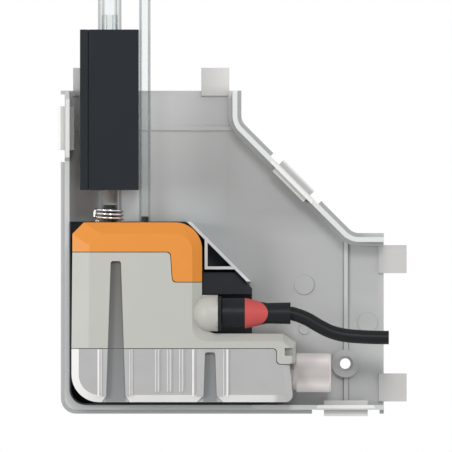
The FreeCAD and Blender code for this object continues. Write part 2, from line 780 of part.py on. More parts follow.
def unit_cover():
    """Grey middle cover with the socket dome, the foot and the corner lug window."""
    full = cover_points(0, 0, 0)
    cover = moulded(full, cover_points(BEVEL_SIDE, 2 * UNIT_WALL, BEVEL_RIGHT))
    cover = cover.cut(hollow_of(full))
    cover = opened(cover, UNIT_LEFT, CAP_STEP_X, CAP_SPLIT_Z - 2 * UNIT_WALL, CAP_SPLIT_Z + TINY)
    cover = opened(cover, UNIT_FOOT_LEFT, LUG_STEP_X, SPLIT_Z - TINY, SPLIT_Z + 2 * UNIT_WALL)
    centre = SOCKET_FACE - DOME_CYLINDER
    low = PLUG_Z - DOME_RADIUS
    high = PLUG_Z + DOME_RADIUS
    dome = Part.makeSphere(DOME_RADIUS, V(centre, -PLUG_DEPTH, PLUG_Z))
    dome = dome.fuse(spigot(centre, SOCKET_FACE, PLUG_DEPTH, PLUG_Z, DOME_RADIUS))
    dome = dome.common(block(UNIT_LEFT, SOCKET_FACE, 0, UNIT_FRONT + DOME_RADIUS, low, high))
    dome = dome.cut(hollow_block(UNIT_LEFT, UNIT_CAP_RIGHT - UNIT_WALL, low, high))
    dome = dome.fuse(block(UNIT_CAP_RIGHT - UNIT_WALL / 2, SOCKET_FACE, UNIT_BACK, PLUG_DEPTH, low, high))
    core = spigot(UNIT_CAP_RIGHT - UNIT_WALL, SOCKET_FACE + TINY, PLUG_DEPTH, PLUG_Z, SOCKET_CORE_RADIUS)
    cover = cover.fuse(dome).cut(core).cut(grooves())
    half = SNAP_WINDOW / 2
    left = SNAP_WINDOW_X - half
    foot = SNAP_WINDOW_Z - half
    near = UNIT_FRONT - 2 * BEVEL_DEEP
    window = block(left, left + SNAP_WINDOW, near, UNIT_FRONT + TINY, foot, foot + SNAP_WINDOW)
    relief = spigot(LUG_STEP_X - TINY, FOOT_RIGHT + TINY, INLET_DEPTH, INLET_Z, SPIGOT_RADIUS + UNIT_GAP)
    return cover.cut(window).cut(relief).removeSplitter()


def tank():
    """Clear reservoir: bevelled shell, grooves, stiffening ribs and the inlet spigot."""
    full = tank_points(0)
    body = moulded(full, tank_points(TANK_BEVEL))
    stub = spigot(TANK_RIGHT - 3 * UNIT_WALL, SPIGOT_END, INLET_DEPTH, INLET_Z, SPIGOT_RADIUS)
    body = body.fuse(stub).cut(hollow_of(full))
    body = opened(body, UNIT_FOOT_LEFT, LUG_STEP_X, SPLIT_Z - 2 * UNIT_WALL, SPLIT_Z + TINY)
    body = body.cut(spigot(TANK_RIGHT - 4 * UNIT_WALL, SPIGOT_END + TINY, INLET_DEPTH, INLET_Z, SPIGOT_BORE))
    body = body.cut(grooves())
    near = UNIT_FRONT - TINY
    far = UNIT_FRONT + TANK_RIB_RISE
    for x in TANK_RIB_XS:
        body = body.fuse(block(x, x + TANK_RIB_WIDTH, near, far, TANK_RIB_BOTTOM, TANK_RIB_TOP))
    for x, width in TANK_BAND_XS:
        body = body.fuse(block(x, x + width, near, far, TANK_BAND_BOTTOM, TANK_RIB_TOP))
    return body.removeSplitter()


def tank_seal():
    """Gasket frame that bridges the split between the tank and the cover."""
    low = SPLIT_Z - SEAL_HEIGHT / 2
    wide = hollow_block(UNIT_FOOT_LEFT + UNIT_WALL, LUG_STEP_X - UNIT_WALL, low, low + SEAL_HEIGHT)
    box = wide.BoundBox
    hole = Part.makeBox(box.XLength - 2 * SEAL_THICK, box.YLength - 2 * SEAL_THICK, box.ZLength + 2 * TINY)
    hole.translate(V(box.XMin + SEAL_THICK, box.YMin + SEAL_THICK, box.ZMin - TINY))
    return wide.cut(hole)


def sensor_stem():
    """Guide rod for the float, hung from the sensor board into the tank."""
    foot = TANK_BOTTOM + UNIT_WALL + STEM_FOOT_GAP
    return rod(STEM_X, INLET_DEPTH, foot, STEM_TOP, STEM_RADIUS)


def sensor_board():
    """Board with the reed switches, held on edge between the cover walls."""
    near = UNIT_BACK + UNIT_WALL
    far = UNIT_FRONT - BEVEL_DEEP - UNIT_WALL
    half = SENSOR_WIDTH / 2
    top = STEM_TOP + SENSOR_THICK
    plate = block(STEM_X - half, STEM_X + half, near, far, STEM_TOP, top)
    back = INLET_DEPTH - SENSOR_CHIP / 2
    chip_left = STEM_X - SENSOR_CHIP / 2
    chip = block(chip_left, chip_left + SENSOR_CHIP, back, back + SENSOR_CHIP, top, top + SENSOR_THICK)
    notch = rod(PUMP_AXIS_X, PUMP_AXIS_DEPTH, STEM_TOP - TINY, top + SENSOR_THICK, DIP_RADIUS + UNIT_GAP)
    return plate.fuse(chip).cut(notch)


def float_block():
    """Float with a guide bore through it and a pocket for its ring magnet."""
    foot = TANK_BOTTOM + UNIT_WALL + FLOAT_REST_GAP
    half_x = FLOAT_LENGTH / 2
    half_y = FLOAT_WIDTH / 2
    top = foot + FLOAT_HEIGHT
    near = INLET_DEPTH - half_y
    body = block(STEM_X - half_x, STEM_X + half_x, near, near + FLOAT_WIDTH, foot, top)
    upright = [edge for edge in body.Edges if edge.BoundBox.ZLength > FLOAT_HEIGHT / 2]
    body = body.makeFillet(FLOAT_ROUND, upright)
    bore = rod(STEM_X, INLET_DEPTH, foot - TINY, top + TINY, STEM_RADIUS + FLOAT_BORE_GAP)
    pocket = rod(STEM_X, INLET_DEPTH, top - MAGNET_THICK, top + TINY, MAGNET_RADIUS)
    return body.cut(bore).cut(pocket)


def float_magnet():
    top = TANK_BOTTOM + UNIT_WALL + FLOAT_REST_GAP + FLOAT_HEIGHT
    return ring(STEM_X, INLET_DEPTH, top - MAGNET_THICK, top, MAGNET_RADIUS, MAGNET_BORE)


def strainer():
    """Slotted screen that stands across the tank in front of the inlet."""
    near = UNIT_BACK + UNIT_WALL
    far = UNIT_FRONT - BEVEL_DEEP - UNIT_WALL
    foot = TANK_BOTTOM + UNIT_WALL
    right = STRAINER_X + STRAINER_THICK
    screen = block(STRAINER_X, right, near, far, foot, foot + STRAINER_HEIGHT)
    low = foot + 2 * STRAINER_THICK
    high = foot + STRAINER_HEIGHT - STRAINER_THICK
    step = (far - near) / (STRAINER_BARS + 1)
    for index in range(STRAINER_BARS):
        start = near + (index + 1) * step - step / 4
        screen = screen.cut(block(STRAINER_X - TINY, right + TINY, start, start + step / 2, low, high))
    return screen


def suction_port():
    """Barbed port on the cap with its dip pipe down to the tank floor."""
    under = UNIT_TOP - UNIT_WALL
    pipe = rod(PUMP_AXIS_X, PUMP_AXIS_DEPTH, DIP_FOOT, under, DIP_RADIUS)
    collar = rod(PUMP_AXIS_X, PUMP_AXIS_DEPTH, under - FLANGE_THICK / 2, under, BARB_RADIUS + 2 * BARB_RIDGE)
    neck = rod(PUMP_AXIS_X, PUMP_AXIS_DEPTH, under, UNIT_TOP, BARB_RADIUS)
    head = hose_end(UNIT_TOP, SUCTION_PORT_TOP, True)
    bore = rod(PUMP_AXIS_X, PUMP_AXIS_DEPTH, DIP_FOOT - TINY, SUCTION_PORT_TOP + TINY, FLOW_BORE)
    return pipe.fuse([collar, neck, head]).cut(bore).removeSplitter()


def vent_spigot():
    under = UNIT_TOP - UNIT_WALL
    collar = rod(VENT_X, PUMP_AXIS_DEPTH, under - FLANGE_THICK / 2, under, VENT_BORE + 2 * BARB_RIDGE)
    neck = rod(VENT_X, PUMP_AXIS_DEPTH, under, UNIT_TOP, VENT_BORE)
    head = barb(VENT_X, PUMP_AXIS_DEPTH, UNIT_TOP, VENT_BARB_TOP, VENT_BORE, BARB_RIDGE, BARB_PITCH, True)
    bore = rod(VENT_X, PUMP_AXIS_DEPTH, under - FLANGE_THICK, VENT_BARB_TOP + TINY, VENT_BORE / 2)
    return collar.fuse([neck, head]).cut(bore).removeSplitter()


def inlet_sleeve():
    """Soft sleeve over the tank spigot, open for the drain hose, with a bevelled rim."""
    profile = [
        (SLEEVE_START, SPIGOT_RADIUS),
        (SLEEVE_START, SLEEVE_RADIUS),
        (SLEEVE_END - SLEEVE_ROUND, SLEEVE_RADIUS),
        (SLEEVE_END - SLEEVE_ROUND / 3, SLEEVE_RADIUS - SLEEVE_ROUND / 3),
        (SLEEVE_END, SLEEVE_RADIUS - SLEEVE_ROUND),
        (SLEEVE_END, SLEEVE_MOUTH),
        (SPIGOT_END, SLEEVE_MOUTH),
        (SPIGOT_END, SPIGOT_RADIUS),
    ]
    return revolve_along(INLET_DEPTH, INLET_Z, profile)


def pump_shell():
    """Open-sided pump housing with end holes for the inlet and outlet bodies."""
    split = PUMP_LEFT + PUMP_LID
    outer = block(split, PUMP_RIGHT, PUMP_BACK, PUMP_FRONT, PUMP_BOTTOM, PUMP_TOP)
    near = PUMP_BACK + PUMP_WALL
    inside = PUMP_FRONT - PUMP_WALL
    low = PUMP_BOTTOM + PUMP_WALL
    high = PUMP_TOP - PUMP_WALL
    shell = outer.cut(block(split - TINY, PUMP_RIGHT - PUMP_WALL, near, inside, low, high))
    shell = shell.cut(rod(PUMP_AXIS_X, PUMP_AXIS_DEPTH, PUMP_BOTTOM - TINY, PUMP_TOP + TINY, NECK_RADIUS))
    middle_x = (PUMP_LEFT + PUMP_RIGHT) / 2
    middle_z = (PUMP_BOTTOM + PUMP_TOP) / 2
    for side_x in (-1, 1):
        for side_z in (-1, 1):
            x = middle_x + side_x * (BOARD_WIDTH / 2 - 3 * BOARD_PEG)
            z = middle_z + side_z * (BOARD_HEIGHT / 2 - 3 * BOARD_PEG)
            shell = shell.fuse(outward(x, z, inside - BOARD_STAND, BOARD_STAND + PUMP_WALL / 2, BOARD_PEG))
    return shell.removeSplitter()


def pump_side_lid():
    """Long side lid with a raised lip that locates inside the shell."""
    split = PUMP_LEFT + PUMP_LID
    lid = block(PUMP_LEFT, split - SEAM, PUMP_BACK, PUMP_FRONT, PUMP_BOTTOM, PUMP_TOP)
    near = PUMP_BACK + PUMP_WALL
    far = PUMP_FRONT - PUMP_WALL
    low = PUMP_BOTTOM + PUMP_WALL
    high = PUMP_TOP - PUMP_WALL
    lid = lid.fuse(block(split - SEAM, split + PUMP_WALL, near, far, low, high))
    wall = PUMP_WALL
    end = split + 2 * wall
    lid = lid.cut(block(PUMP_LEFT + wall, end, near + wall, far - wall, low + wall, high - wall))
    outer = [edge for edge in lid.Edges if edge.BoundBox.XMax < PUMP_LEFT + TINY / 2]
    edges = [edge for edge in outer if edge.BoundBox.ZLength > TINY]
    return lid.makeFillet(PUMP_WALL / 2, edges)


def pump_circuit_board():
    middle_x = (PUMP_LEFT + PUMP_RIGHT) / 2
    middle_z = (PUMP_BOTTOM + PUMP_TOP) / 2
    far = PUMP_FRONT - PUMP_WALL - BOARD_STAND
    near = far - BOARD_THICK
    half = BOARD_WIDTH / 2
    foot = middle_z - BOARD_HEIGHT / 2
    board = block(middle_x - half, middle_x + half, near, far, foot, foot + BOARD_HEIGHT)
    chip_top = far + BOARD_STAND / 2
    chip = block(middle_x - half / 2, middle_x + half / 2, far, chip_top, middle_z - half, middle_z + half)
    return board.fuse(chip)


def inlet_body():
    """Pump inlet: barb, flange on the housing floor, valve chamber and cylinder socket."""
    floor = PUMP_BOTTOM + PUMP_WALL
    flange = rod(PUMP_AXIS_X, PUMP_AXIS_DEPTH, floor, floor + FLANGE_THICK, FLANGE_RADIUS)
    neck = rod(PUMP_AXIS_X, PUMP_AXIS_DEPTH, PUMP_BOTTOM, floor, NECK_RADIUS)
    trunk = rod(PUMP_AXIS_X, PUMP_AXIS_DEPTH, floor, INLET_BODY_TOP, BODY_RADIUS)
    head = hose_end(INLET_BARB_END, PUMP_BOTTOM, False)
    body = trunk.fuse([flange, neck, head])
    body = body.cut(rod(PUMP_AXIS_X, PUMP_AXIS_DEPTH, INLET_BARB_END - TINY, INLET_SEAT_Z + TINY, FLOW_BORE))
    body = body.cut(rod(PUMP_AXIS_X, PUMP_AXIS_DEPTH, INLET_SEAT_Z, INLET_CAGE_Z, CHAMBER_RADIUS))
    body = body.cut(rod(PUMP_AXIS_X, PUMP_AXIS_DEPTH, INLET_CAGE_Z, INLET_BODY_TOP + TINY, CYLINDER_RADIUS))
    return body.removeSplitter()


def outlet_body():
    """Pump outlet: cylinder socket, valve chamber, flange under the roof and barb."""
    roof = PUMP_TOP - PUMP_WALL
    seat = CYLINDER_TOP + CAGE_THICK
    flange = rod(PUMP_AXIS_X, PUMP_AXIS_DEPTH, roof - FLANGE_THICK, roof, FLANGE_RADIUS)
    neck = rod(PUMP_AXIS_X, PUMP_AXIS_DEPTH, roof, PUMP_TOP, NECK_RADIUS)
    trunk = rod(PUMP_AXIS_X, PUMP_AXIS_DEPTH, OUTLET_BODY_BOTTOM, roof, BODY_RADIUS)
    head = hose_end(PUMP_TOP, OUTLET_BARB_END, True)
    body = trunk.fuse([flange, neck, head])
    body = body.cut(rod(PUMP_AXIS_X, PUMP_AXIS_DEPTH, OUTLET_BODY_BOTTOM - TINY, seat, CYLINDER_RADIUS))
    body = body.cut(rod(PUMP_AXIS_X, PUMP_AXIS_DEPTH, seat, OUTLET_CHAMBER_TOP, CHAMBER_RADIUS))
    way = rod(PUMP_AXIS_X, PUMP_AXIS_DEPTH, OUTLET_CHAMBER_TOP - TINY, OUTLET_BARB_END + TINY, FLOW_BORE)
    body = body.cut(way)
    return body.removeSplitter()


def valve_disc(z):
    """Pierced disc clamped by the end of the cylinder."""
    return ring(PUMP_AXIS_X, PUMP_AXIS_DEPTH, z, z + CAGE_THICK, CYLINDER_RADIUS, CAGE_HOLE)


def ball_rise(hole):
    """Height of a ball's centre above the edge of the hole that it closes."""
    return math.sqrt(BALL_RADIUS ** 2 - hole ** 2) + BALL_SEAT_GAP


def valve_ball(seat_z, hole):
    """Ball turned from a many-sided half circle."""
    centre = seat_z + ball_rise(hole)
    profile = []
    for step in range(BALL_STEPS + 1):
        turn = math.pi * (step / BALL_STEPS - 1 / 2)
        profile.append((BALL_RADIUS * math.cos(turn), centre + BALL_RADIUS * math.sin(turn)))
    profile[0] = (0, centre - BALL_RADIUS)
    profile[-1] = (0, centre + BALL_RADIUS)
    return revolve_up(PUMP_AXIS_X, PUMP_AXIS_DEPTH, profile)


def valve_spring(seat_z, hole, top):
    ball_z = seat_z + ball_rise(hole)
    contact = math.sqrt(BALL_RADIUS ** 2 - (VALVE_COIL - VALVE_WIRE) ** 2)
    foot = ball_z + contact + SPRING_END_GAP
    return coil(PUMP_AXIS_X, PUMP_AXIS_DEPTH, foot, top - SPRING_END_GAP, VALVE_TURNS, VALVE_COIL, VALVE_WIRE)


def pump_cylinder():
    foot = INLET_CAGE_Z + CAGE_THICK
    bore = CYLINDER_RADIUS - CYLINDER_WALL
    return ring(PUMP_AXIS_X, PUMP_AXIS_DEPTH, foot, CYLINDER_TOP, CYLINDER_RADIUS, bore)


def piston():
    """Hollow magnetic piston, chamfered at both ends."""
    radius = CYLINDER_RADIUS - CYLINDER_WALL - PISTON_GAP
    slope = PISTON_CHAMFER
    profile = [
        (FLOW_BORE, PISTON_BOTTOM),
        (radius - slope, PISTON_BOTTOM),
        (radius, PISTON_BOTTOM + slope),
        (radius, PISTON_TOP - slope),
        (radius - slope, PISTON_TOP),
        (FLOW_BORE, PISTON_TOP),
    ]
    return revolve_up(PUMP_AXIS_X, PUMP_AXIS_DEPTH, profile)


def return_spring():
    foot = INLET_CAGE_Z + CAGE_THICK + SPRING_END_GAP
    top = PISTON_BOTTOM - SPRING_END_GAP
    return coil(PUMP_AXIS_X, PUMP_AXIS_DEPTH, foot, top, SPRING_TURNS, SPRING_COIL, SPRING_WIRE)


def buffer_spring():
    foot = PISTON_TOP + SPRING_END_GAP
    top = CYLINDER_TOP - SPRING_END_GAP
    return coil(PUMP_AXIS_X, PUMP_AXIS_DEPTH, foot, top, SPRING_TURNS, SPRING_COIL, SPRING_WIRE)


def coil_bobbin():
    bore = CYLINDER_RADIUS + COIL_BORE_GAP
    profile = [
        (bore, BOBBIN_BOTTOM),
        (COIL_RADIUS, BOBBIN_BOTTOM),
        (COIL_RADIUS, BOBBIN_BOTTOM + BOBBIN_FLANGE),
        (bore + BOBBIN_TUBE, BOBBIN_BOTTOM + BOBBIN_FLANGE),
        (bore + BOBBIN_TUBE, BOBBIN_TOP - BOBBIN_FLANGE),
        (COIL_RADIUS, BOBBIN_TOP - BOBBIN_FLANGE),
        (COIL_RADIUS, BOBBIN_TOP),
        (bore, BOBBIN_TOP),
    ]
    return revolve_up(PUMP_AXIS_X, PUMP_AXIS_DEPTH, profile)


def coil_winding():
    low = BOBBIN_BOTTOM + BOBBIN_FLANGE
    high = BOBBIN_TOP - BOBBIN_FLANGE
    bore = CYLINDER_RADIUS + COIL_BORE_GAP + BOBBIN_TUBE
    return ring(PUMP_AXIS_X, PUMP_AXIS_DEPTH, low, high, COIL_RADIUS - BOBBIN_TUBE, bore)


def magnet_yoke():
    """Bent steel frame round the coil, pierced for the cylinder."""
    half = YOKE_WIDTH / 2
    near = PUMP_AXIS_DEPTH - COIL_RADIUS
    far = PUMP_AXIS_DEPTH + COIL_RADIUS
    low = BOBBIN_BOTTOM - YOKE_THICK
    high = BOBBIN_TOP + YOKE_THICK
    left = PUMP_AXIS_X - half
    right = PUMP_AXIS_X + half
    frame = block(left, right, near - YOKE_THICK, far + YOKE_THICK, low, high)
    frame = frame.cut(block(left - TINY, right + TINY, near, far, BOBBIN_BOTTOM, BOBBIN_TOP))
    return frame.cut(rod(PUMP_AXIS_X, PUMP_AXIS_DEPTH, low - TINY, high + TINY, CYLINDER_RADIUS))


def damper(z0, z1):
    return ring(PUMP_AXIS_X, PUMP_AXIS_DEPTH, z0, z1, DAMPER_RADIUS, CYLINDER_RADIUS)


def pump_pad():
    """Foam pad stuck to the back of the pump, just clear of the elbow floor."""
    left = (PUMP_LEFT + PUMP_RIGHT - PAD_WIDTH) / 2
    top = SCREW_ALONG - BOSS_RADIUS - UNIT_GAP - CORNER_SHIFT
    low = PUMP_BOTTOM + PUMP_WALL
    return block(left, left + PAD_WIDTH, PUMP_BACK - PAD_THICK, PUMP_BACK, low, top)


def suction_tube():
    return ring(PUMP_AXIS_X, PUMP_AXIS_DEPTH, UNIT_TOP, PUMP_BOTTOM, TUBE_RADIUS, BARB_RADIUS)


def discharge_tube():
    """Clear tube that is stretched over the outlet barb and free above it."""
    tube = ring(PUMP_AXIS_X, PUMP_AXIS_DEPTH, PUMP_TOP, TUBE_TOP, TUBE_RADIUS, TUBE_BORE)
    return tube.cut(rod(PUMP_AXIS_X, PUMP_AXIS_DEPTH, PUMP_TOP - TINY, OUTLET_BARB_END, BARB_RADIUS))


def vent_tube():
    return ring(VENT_X, PUMP_AXIS_DEPTH, UNIT_TOP, TUBE_TOP, VENT_RADIUS, VENT_BORE)


def suction_clamp():
    """Wire spring clamp round the suction tube, with its two squeeze ears."""
    radius = TUBE_RADIUS / math.cos(math.pi / COIL_STEPS) + CLAMP_WIRE
    top = CLAMP_FOOT + CLAMP_TURNS * CLAMP_PITCH + 2 * CLAMP_WIRE
    wire = coil(PUMP_AXIS_X, PUMP_AXIS_DEPTH, CLAMP_FOOT, top, CLAMP_TURNS, radius, CLAMP_WIRE)
    wire.rotate(V(PUMP_AXIS_X, -PUMP_AXIS_DEPTH, 0), V(0, 0, 1), 180)
    end = PUMP_AXIS_X - radius
    for z in (CLAMP_FOOT + CLAMP_WIRE, top - CLAMP_WIRE):
        wire = wire.fuse(spigot(end - CLAMP_EAR, end, PUMP_AXIS_DEPTH, z, CLAMP_WIRE))
    return wire


def pin_places():
    """Depth and height offsets of the pins from the plug axis, the first one in front."""
    turns = [2 * math.pi * index / PIN_COUNT for index in range(PIN_COUNT)]
    return [(PIN_CIRCLE * math.cos(turn), PIN_CIRCLE * math.sin(turn)) for turn in turns]


def socket_housing():
    """Square flange on the dome with a round core that takes the plug."""
    low = PLUG_Z - SOCKET_HALF
    near = PLUG_DEPTH - SOCKET_HALF
    size = 2 * SOCKET_HALF
    flange = block(SOCKET_FACE, SOCKET_FACE + SOCKET_FLANGE, near, near + size, low, low + size)
    upright = [edge for edge in flange.Edges if edge.BoundBox.XLength > SOCKET_FLANGE / 2]
    flange = flange.makeFillet(SOCKET_FLANGE, upright)
    tail = spigot(UNIT_CAP_RIGHT - UNIT_WALL, SOCKET_FACE, PLUG_DEPTH, PLUG_Z, SOCKET_CORE_RADIUS)
    core = spigot(SOCKET_FACE, SOCKET_CORE_END, PLUG_DEPTH, PLUG_Z, SOCKET_CORE_RADIUS)
    body = flange.fuse([tail, core])
    return body.cut(pin_rods(PIN_START, SOCKET_CORE_END + TINY, PIN_RADIUS)).removeSplitter()


def pin_rods(x0, x1, radius):
    """One rod along X at each pin place."""
    rods = [spigot(x0, x1, PLUG_DEPTH + depth, PLUG_Z + height, radius) for depth, height in pin_places()]
    return Part.makeCompound(rods)


def socket_pins():
    return pin_rods(PIN_START, PIN_END, PIN_RADIUS)


def plug_outer():
    """Half profile of the plug from its collar over the grip taper to the sleeve end."""
    return [
        (PLUG_START, 0),
        (PLUG_START, PLUG_RADIUS),
        (GRIP_START, PLUG_RADIUS),
        (PLUG_WAIST, PLUG_WAIST_RADIUS),
        (PLUG_NECK, PLUG_NECK_RADIUS),
        (PLUG_END, PLUG_END_RADIUS),
        (PLUG_END, 0),
    ]


def plug_radius_at(x):
    """Radius of the plug on its taper."""
    if x <= PLUG_WAIST:
        share = (x - GRIP_START) / (PLUG_WAIST - GRIP_START)
        return PLUG_RADIUS + share * (PLUG_WAIST_RADIUS - PLUG_RADIUS)
    share = (x - PLUG_WAIST) / (PLUG_NECK - PLUG_WAIST)
    return PLUG_WAIST_RADIUS + share * (PLUG_NECK_RADIUS - PLUG_WAIST_RADIUS)


def plug_grip():
    """D-shaped soft grips let into the front and back of the plug."""
    end = GRIP_START + GRIP_LENGTH
    outer = [(x, plug_radius_at(x) + GRIP_PROUD) for x in (GRIP_START, PLUG_WAIST, end)]
    inner = [(x, plug_radius_at(x) - GRIP_THICK) for x in (end, PLUG_WAIST, GRIP_START)]
    skin = revolve_along(PLUG_DEPTH, PLUG_Z, outer + inner)
    reach = PLUG_RADIUS + GRIP_PROUD
    centre = V(GRIP_START, 0, PLUG_Z)
    oval = Part.Ellipse(V(end, 0, PLUG_Z), V(GRIP_START, 0, PLUG_Z + reach), centre)
    print_wire = Part.Wire([oval.toShape()])
    return skin.common(prism(print_wire, PLUG_DEPTH - 2 * reach, PLUG_DEPTH + 2 * reach))


def plug_body():
    """Round plug with a deep collar, contact bores and a tapered neck."""
    body = revolve_along(PLUG_DEPTH, PLUG_Z, plug_outer())
    face = SOCKET_CORE_END + UNIT_GAP
    body = body.cut(spigot(PLUG_START - TINY, face, PLUG_DEPTH, PLUG_Z, PLUG_CORE_BORE))
    body = body.cut(pin_rods(face - TINY, CONTACT_START + TINY, PIN_RADIUS + PIN_CLEARANCE))
    body = body.cut(pin_rods(CONTACT_START, CONTACT_END, CONTACT_RADIUS))
    return body.cut(plug_grip()).removeSplitter()


def plug_contacts():
    outer = pin_rods(CONTACT_START, CONTACT_END, CONTACT_RADIUS)
    return outer.cut(pin_rods(CONTACT_START - TINY, CONTACT_END - TINY, PIN_RADIUS + PIN_CLEARANCE))


def cable_path():
    """Smooth curve that leaves the plug at the first route point and is cut at the last."""
    curve = Part.BSplineCurve()
    poles = [V(x, -PLUG_DEPTH, z) for x, z in CABLE_ROUTE]
    spans = len(poles) - CABLE_DEGREE
    knots = list(range(spans + 1))
    repeats = [CABLE_DEGREE + 1] + [1] * (spans - 1) + [CABLE_DEGREE + 1]
    curve.buildFromPolesMultsKnots(poles, repeats, knots, False, CABLE_DEGREE)
    return curve


def power_cable():
    """Round lead with many flat sides, laid along its path."""
    curve = cable_path()
    first, last = curve.FirstParameter, curve.LastParameter
    sections = []
    for step in range(CABLE_STEPS + 1):
        place = first + (last - first) * step / CABLE_STEPS
        centre = curve.value(place)
        along = curve.tangent(place)[0]
        across = along.cross(V(0, 1, 0)).normalize()
        corners = []
        for side in range(CABLE_SIDES):
            turn = 2 * math.pi * side / CABLE_SIDES
            lift = V(0, CABLE_RADIUS * math.sin(turn), 0)
            corners.append(centre + across * (CABLE_RADIUS * math.cos(turn)) + lift)
        sections.append(Part.makePolygon(corners + corners[:1]))
    lead = Part.makeLoft(sections, True, True)
    return lead.common(block(PLUG_END, 2 * ARM_REACH, 0, 2 * PLUG_DEPTH, -ARM_HALF, ARM_HALF))


def main():
    os.makedirs("parts", exist_ok=True)
    save("elbow_base", elbow_base())
    save("elbow_walls", elbow_walls())
    save_seated("elbow_brace", elbow_brace())
    for side, place in LATCH_PLACES.items():
        save_seated("cover_latch_" + side, place(cover_latch()))
    save_seated("cradle_tray", cradle())
    save_seated("unit_cap", unit_cap())
    save_seated("unit_cover", unit_cover())
    save_seated("reservoir_tank", tank())
    save_seated("tank_seal", tank_seal())
    save_seated("sensor_stem", sensor_stem())
    save_seated("sensor_board", sensor_board())
    save_seated("float_block", float_block())
    save_seated("float_magnet", float_magnet())
    save_seated("strainer", strainer())
    save_seated("suction_port", suction_port())
    save_seated("vent_spigot", vent_spigot())
    save_seated("inlet_sleeve", inlet_sleeve())
    save_seated("pump_shell", pump_shell())
    save_seated("pump_side_lid", pump_side_lid())
    save_seated("pump_circuit_board", pump_circuit_board())
    save_seated("pump_pad", pump_pad())
    save_seated("inlet_body", inlet_body())
    save_seated("outlet_body", outlet_body())
    save_seated("inlet_valve_cage", valve_disc(INLET_CAGE_Z))
    save_seated("outlet_valve_seat", valve_disc(CYLINDER_TOP))
    save_seated("inlet_valve_ball", valve_ball(INLET_SEAT_Z, FLOW_BORE))
    save_seated("outlet_valve_ball", valve_ball(CYLINDER_TOP + CAGE_THICK, CAGE_HOLE))
    save_seated("inlet_valve_spring", valve_spring(INLET_SEAT_Z, FLOW_BORE, INLET_CAGE_Z))
    save_seated("outlet_valve_spring", valve_spring(CYLINDER_TOP + CAGE_THICK, CAGE_HOLE, OUTLET_CHAMBER_TOP))
    save_seated("pump_cylinder", pump_cylinder())
    save_seated("piston", piston())
    save_seated("return_spring", return_spring())
    save_seated("buffer_spring", buffer_spring())
    save_seated("coil_bobbin", coil_bobbin())
    save_seated("coil_winding", coil_winding())
    save_seated("magnet_yoke", magnet_yoke())
    save_seated("lower_damper", damper(INLET_BODY_TOP, BOBBIN_BOTTOM - YOKE_THICK))
    save_seated("upper_damper", damper(BOBBIN_TOP + YOKE_THICK, OUTLET_BODY_BOTTOM))
    save_seated("suction_tube", suction_tube())
    save_seated("discharge_tube", discharge_tube())
    save_seated("vent_tube", vent_tube())
    save_seated("suction_clamp", suction_clamp())
    save_seated("socket_housing", socket_housing())
    save_seated("socket_pins", socket_pins())
    save_seated("plug_body", plug_body())
    save_seated("plug_grip", plug_grip())
    save_seated("plug_contacts", plug_contacts())
    save_seated("power_cable", power_cable())


main()
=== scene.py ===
import bmesh
import bpy
import json
import math
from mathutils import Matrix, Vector


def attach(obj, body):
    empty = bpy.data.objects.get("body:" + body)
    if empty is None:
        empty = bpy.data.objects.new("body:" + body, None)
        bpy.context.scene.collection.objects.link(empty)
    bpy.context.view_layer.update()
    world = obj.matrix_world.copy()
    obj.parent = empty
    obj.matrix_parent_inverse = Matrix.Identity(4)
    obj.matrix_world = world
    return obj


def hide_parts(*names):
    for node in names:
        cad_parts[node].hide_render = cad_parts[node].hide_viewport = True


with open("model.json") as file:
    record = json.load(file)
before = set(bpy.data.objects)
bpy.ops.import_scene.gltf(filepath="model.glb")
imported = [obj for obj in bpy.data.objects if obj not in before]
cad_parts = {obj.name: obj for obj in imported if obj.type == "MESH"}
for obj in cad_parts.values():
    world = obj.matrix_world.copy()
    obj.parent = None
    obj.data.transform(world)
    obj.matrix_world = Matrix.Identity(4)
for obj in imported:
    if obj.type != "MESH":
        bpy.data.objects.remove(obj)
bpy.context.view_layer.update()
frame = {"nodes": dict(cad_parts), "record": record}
bpy.context.scene.view_settings.view_transform = "Standard"

# Lengths are written in millimetres and turned to metres by MM.
MM = 0.001
UNIT = "pump_unit"
PLUG = "plug"
BASE = "base"
NODE_SLOTS = {entry["node"]: entry["material_slot"] for entry in frame["record"]["subparts"]}
NODE_BODIES = {node: body for body, nodes in frame["record"]["behaviour"]["bodies"].items() for node in nodes}


def at(x, depth, z):
    """Point from x, depth off the wall and z, all in millimetres."""
    return Vector((x * MM, -depth * MM, z * MM))


def body_of(node):
    return NODE_BODIES.get(node, BASE)


def linear(text):
    """Linear colour from an sRGB hex value."""
    channels = [int(text[place:place + 2], 16) / 255 for place in (0, 2, 4)]
    return tuple(c / 12.92 if c <= 0.04045 else ((c + 0.055) / 1.055) ** 2.4 for c in channels) + (1.0,)


# Shader nodes
def feed(tree, node, **links):
    """Gives a node's inputs, by name or as i and a number, a value or a socket."""
    for name, value in links.items():
        socket = node.inputs[int(name[1:])] if name[1:].isdigit() else node.inputs[name.replace("_", " ")]
        if isinstance(value, bpy.types.NodeSocket):
            tree.links.new(value, socket)
        else:
            socket.default_value = value


def add(tree, kind, settings=None, **links):
    """Adds a node with its settings and feeds its inputs."""
    node = tree.nodes.new(kind)
    for name, value in (settings or {}).items():
        setattr(node, name, value)
    feed(tree, node, **links)
    return node


def ramp(tree, value, start=0.0, end=1.0, low=0.0, high=1.0):
    """Carries a value from start and end to low and high, and holds it beyond them."""
    return add(tree, "ShaderNodeMapRange", Value=value, i1=start, i2=end, i3=low, i4=high).outputs["Result"]


def zone(tree, axis, start, end, low=0.0, high=1.0):
    """Ramp along an axis between two places in millimetres."""
    return ramp(tree, axis, start * MM, end * MM, low, high)


def combined(tree, operation, first, second, clamp=False):
    settings = {"operation": operation, "use_clamp": clamp}
    return add(tree, "ShaderNodeMath", settings, i0=first, i1=second).outputs[0]


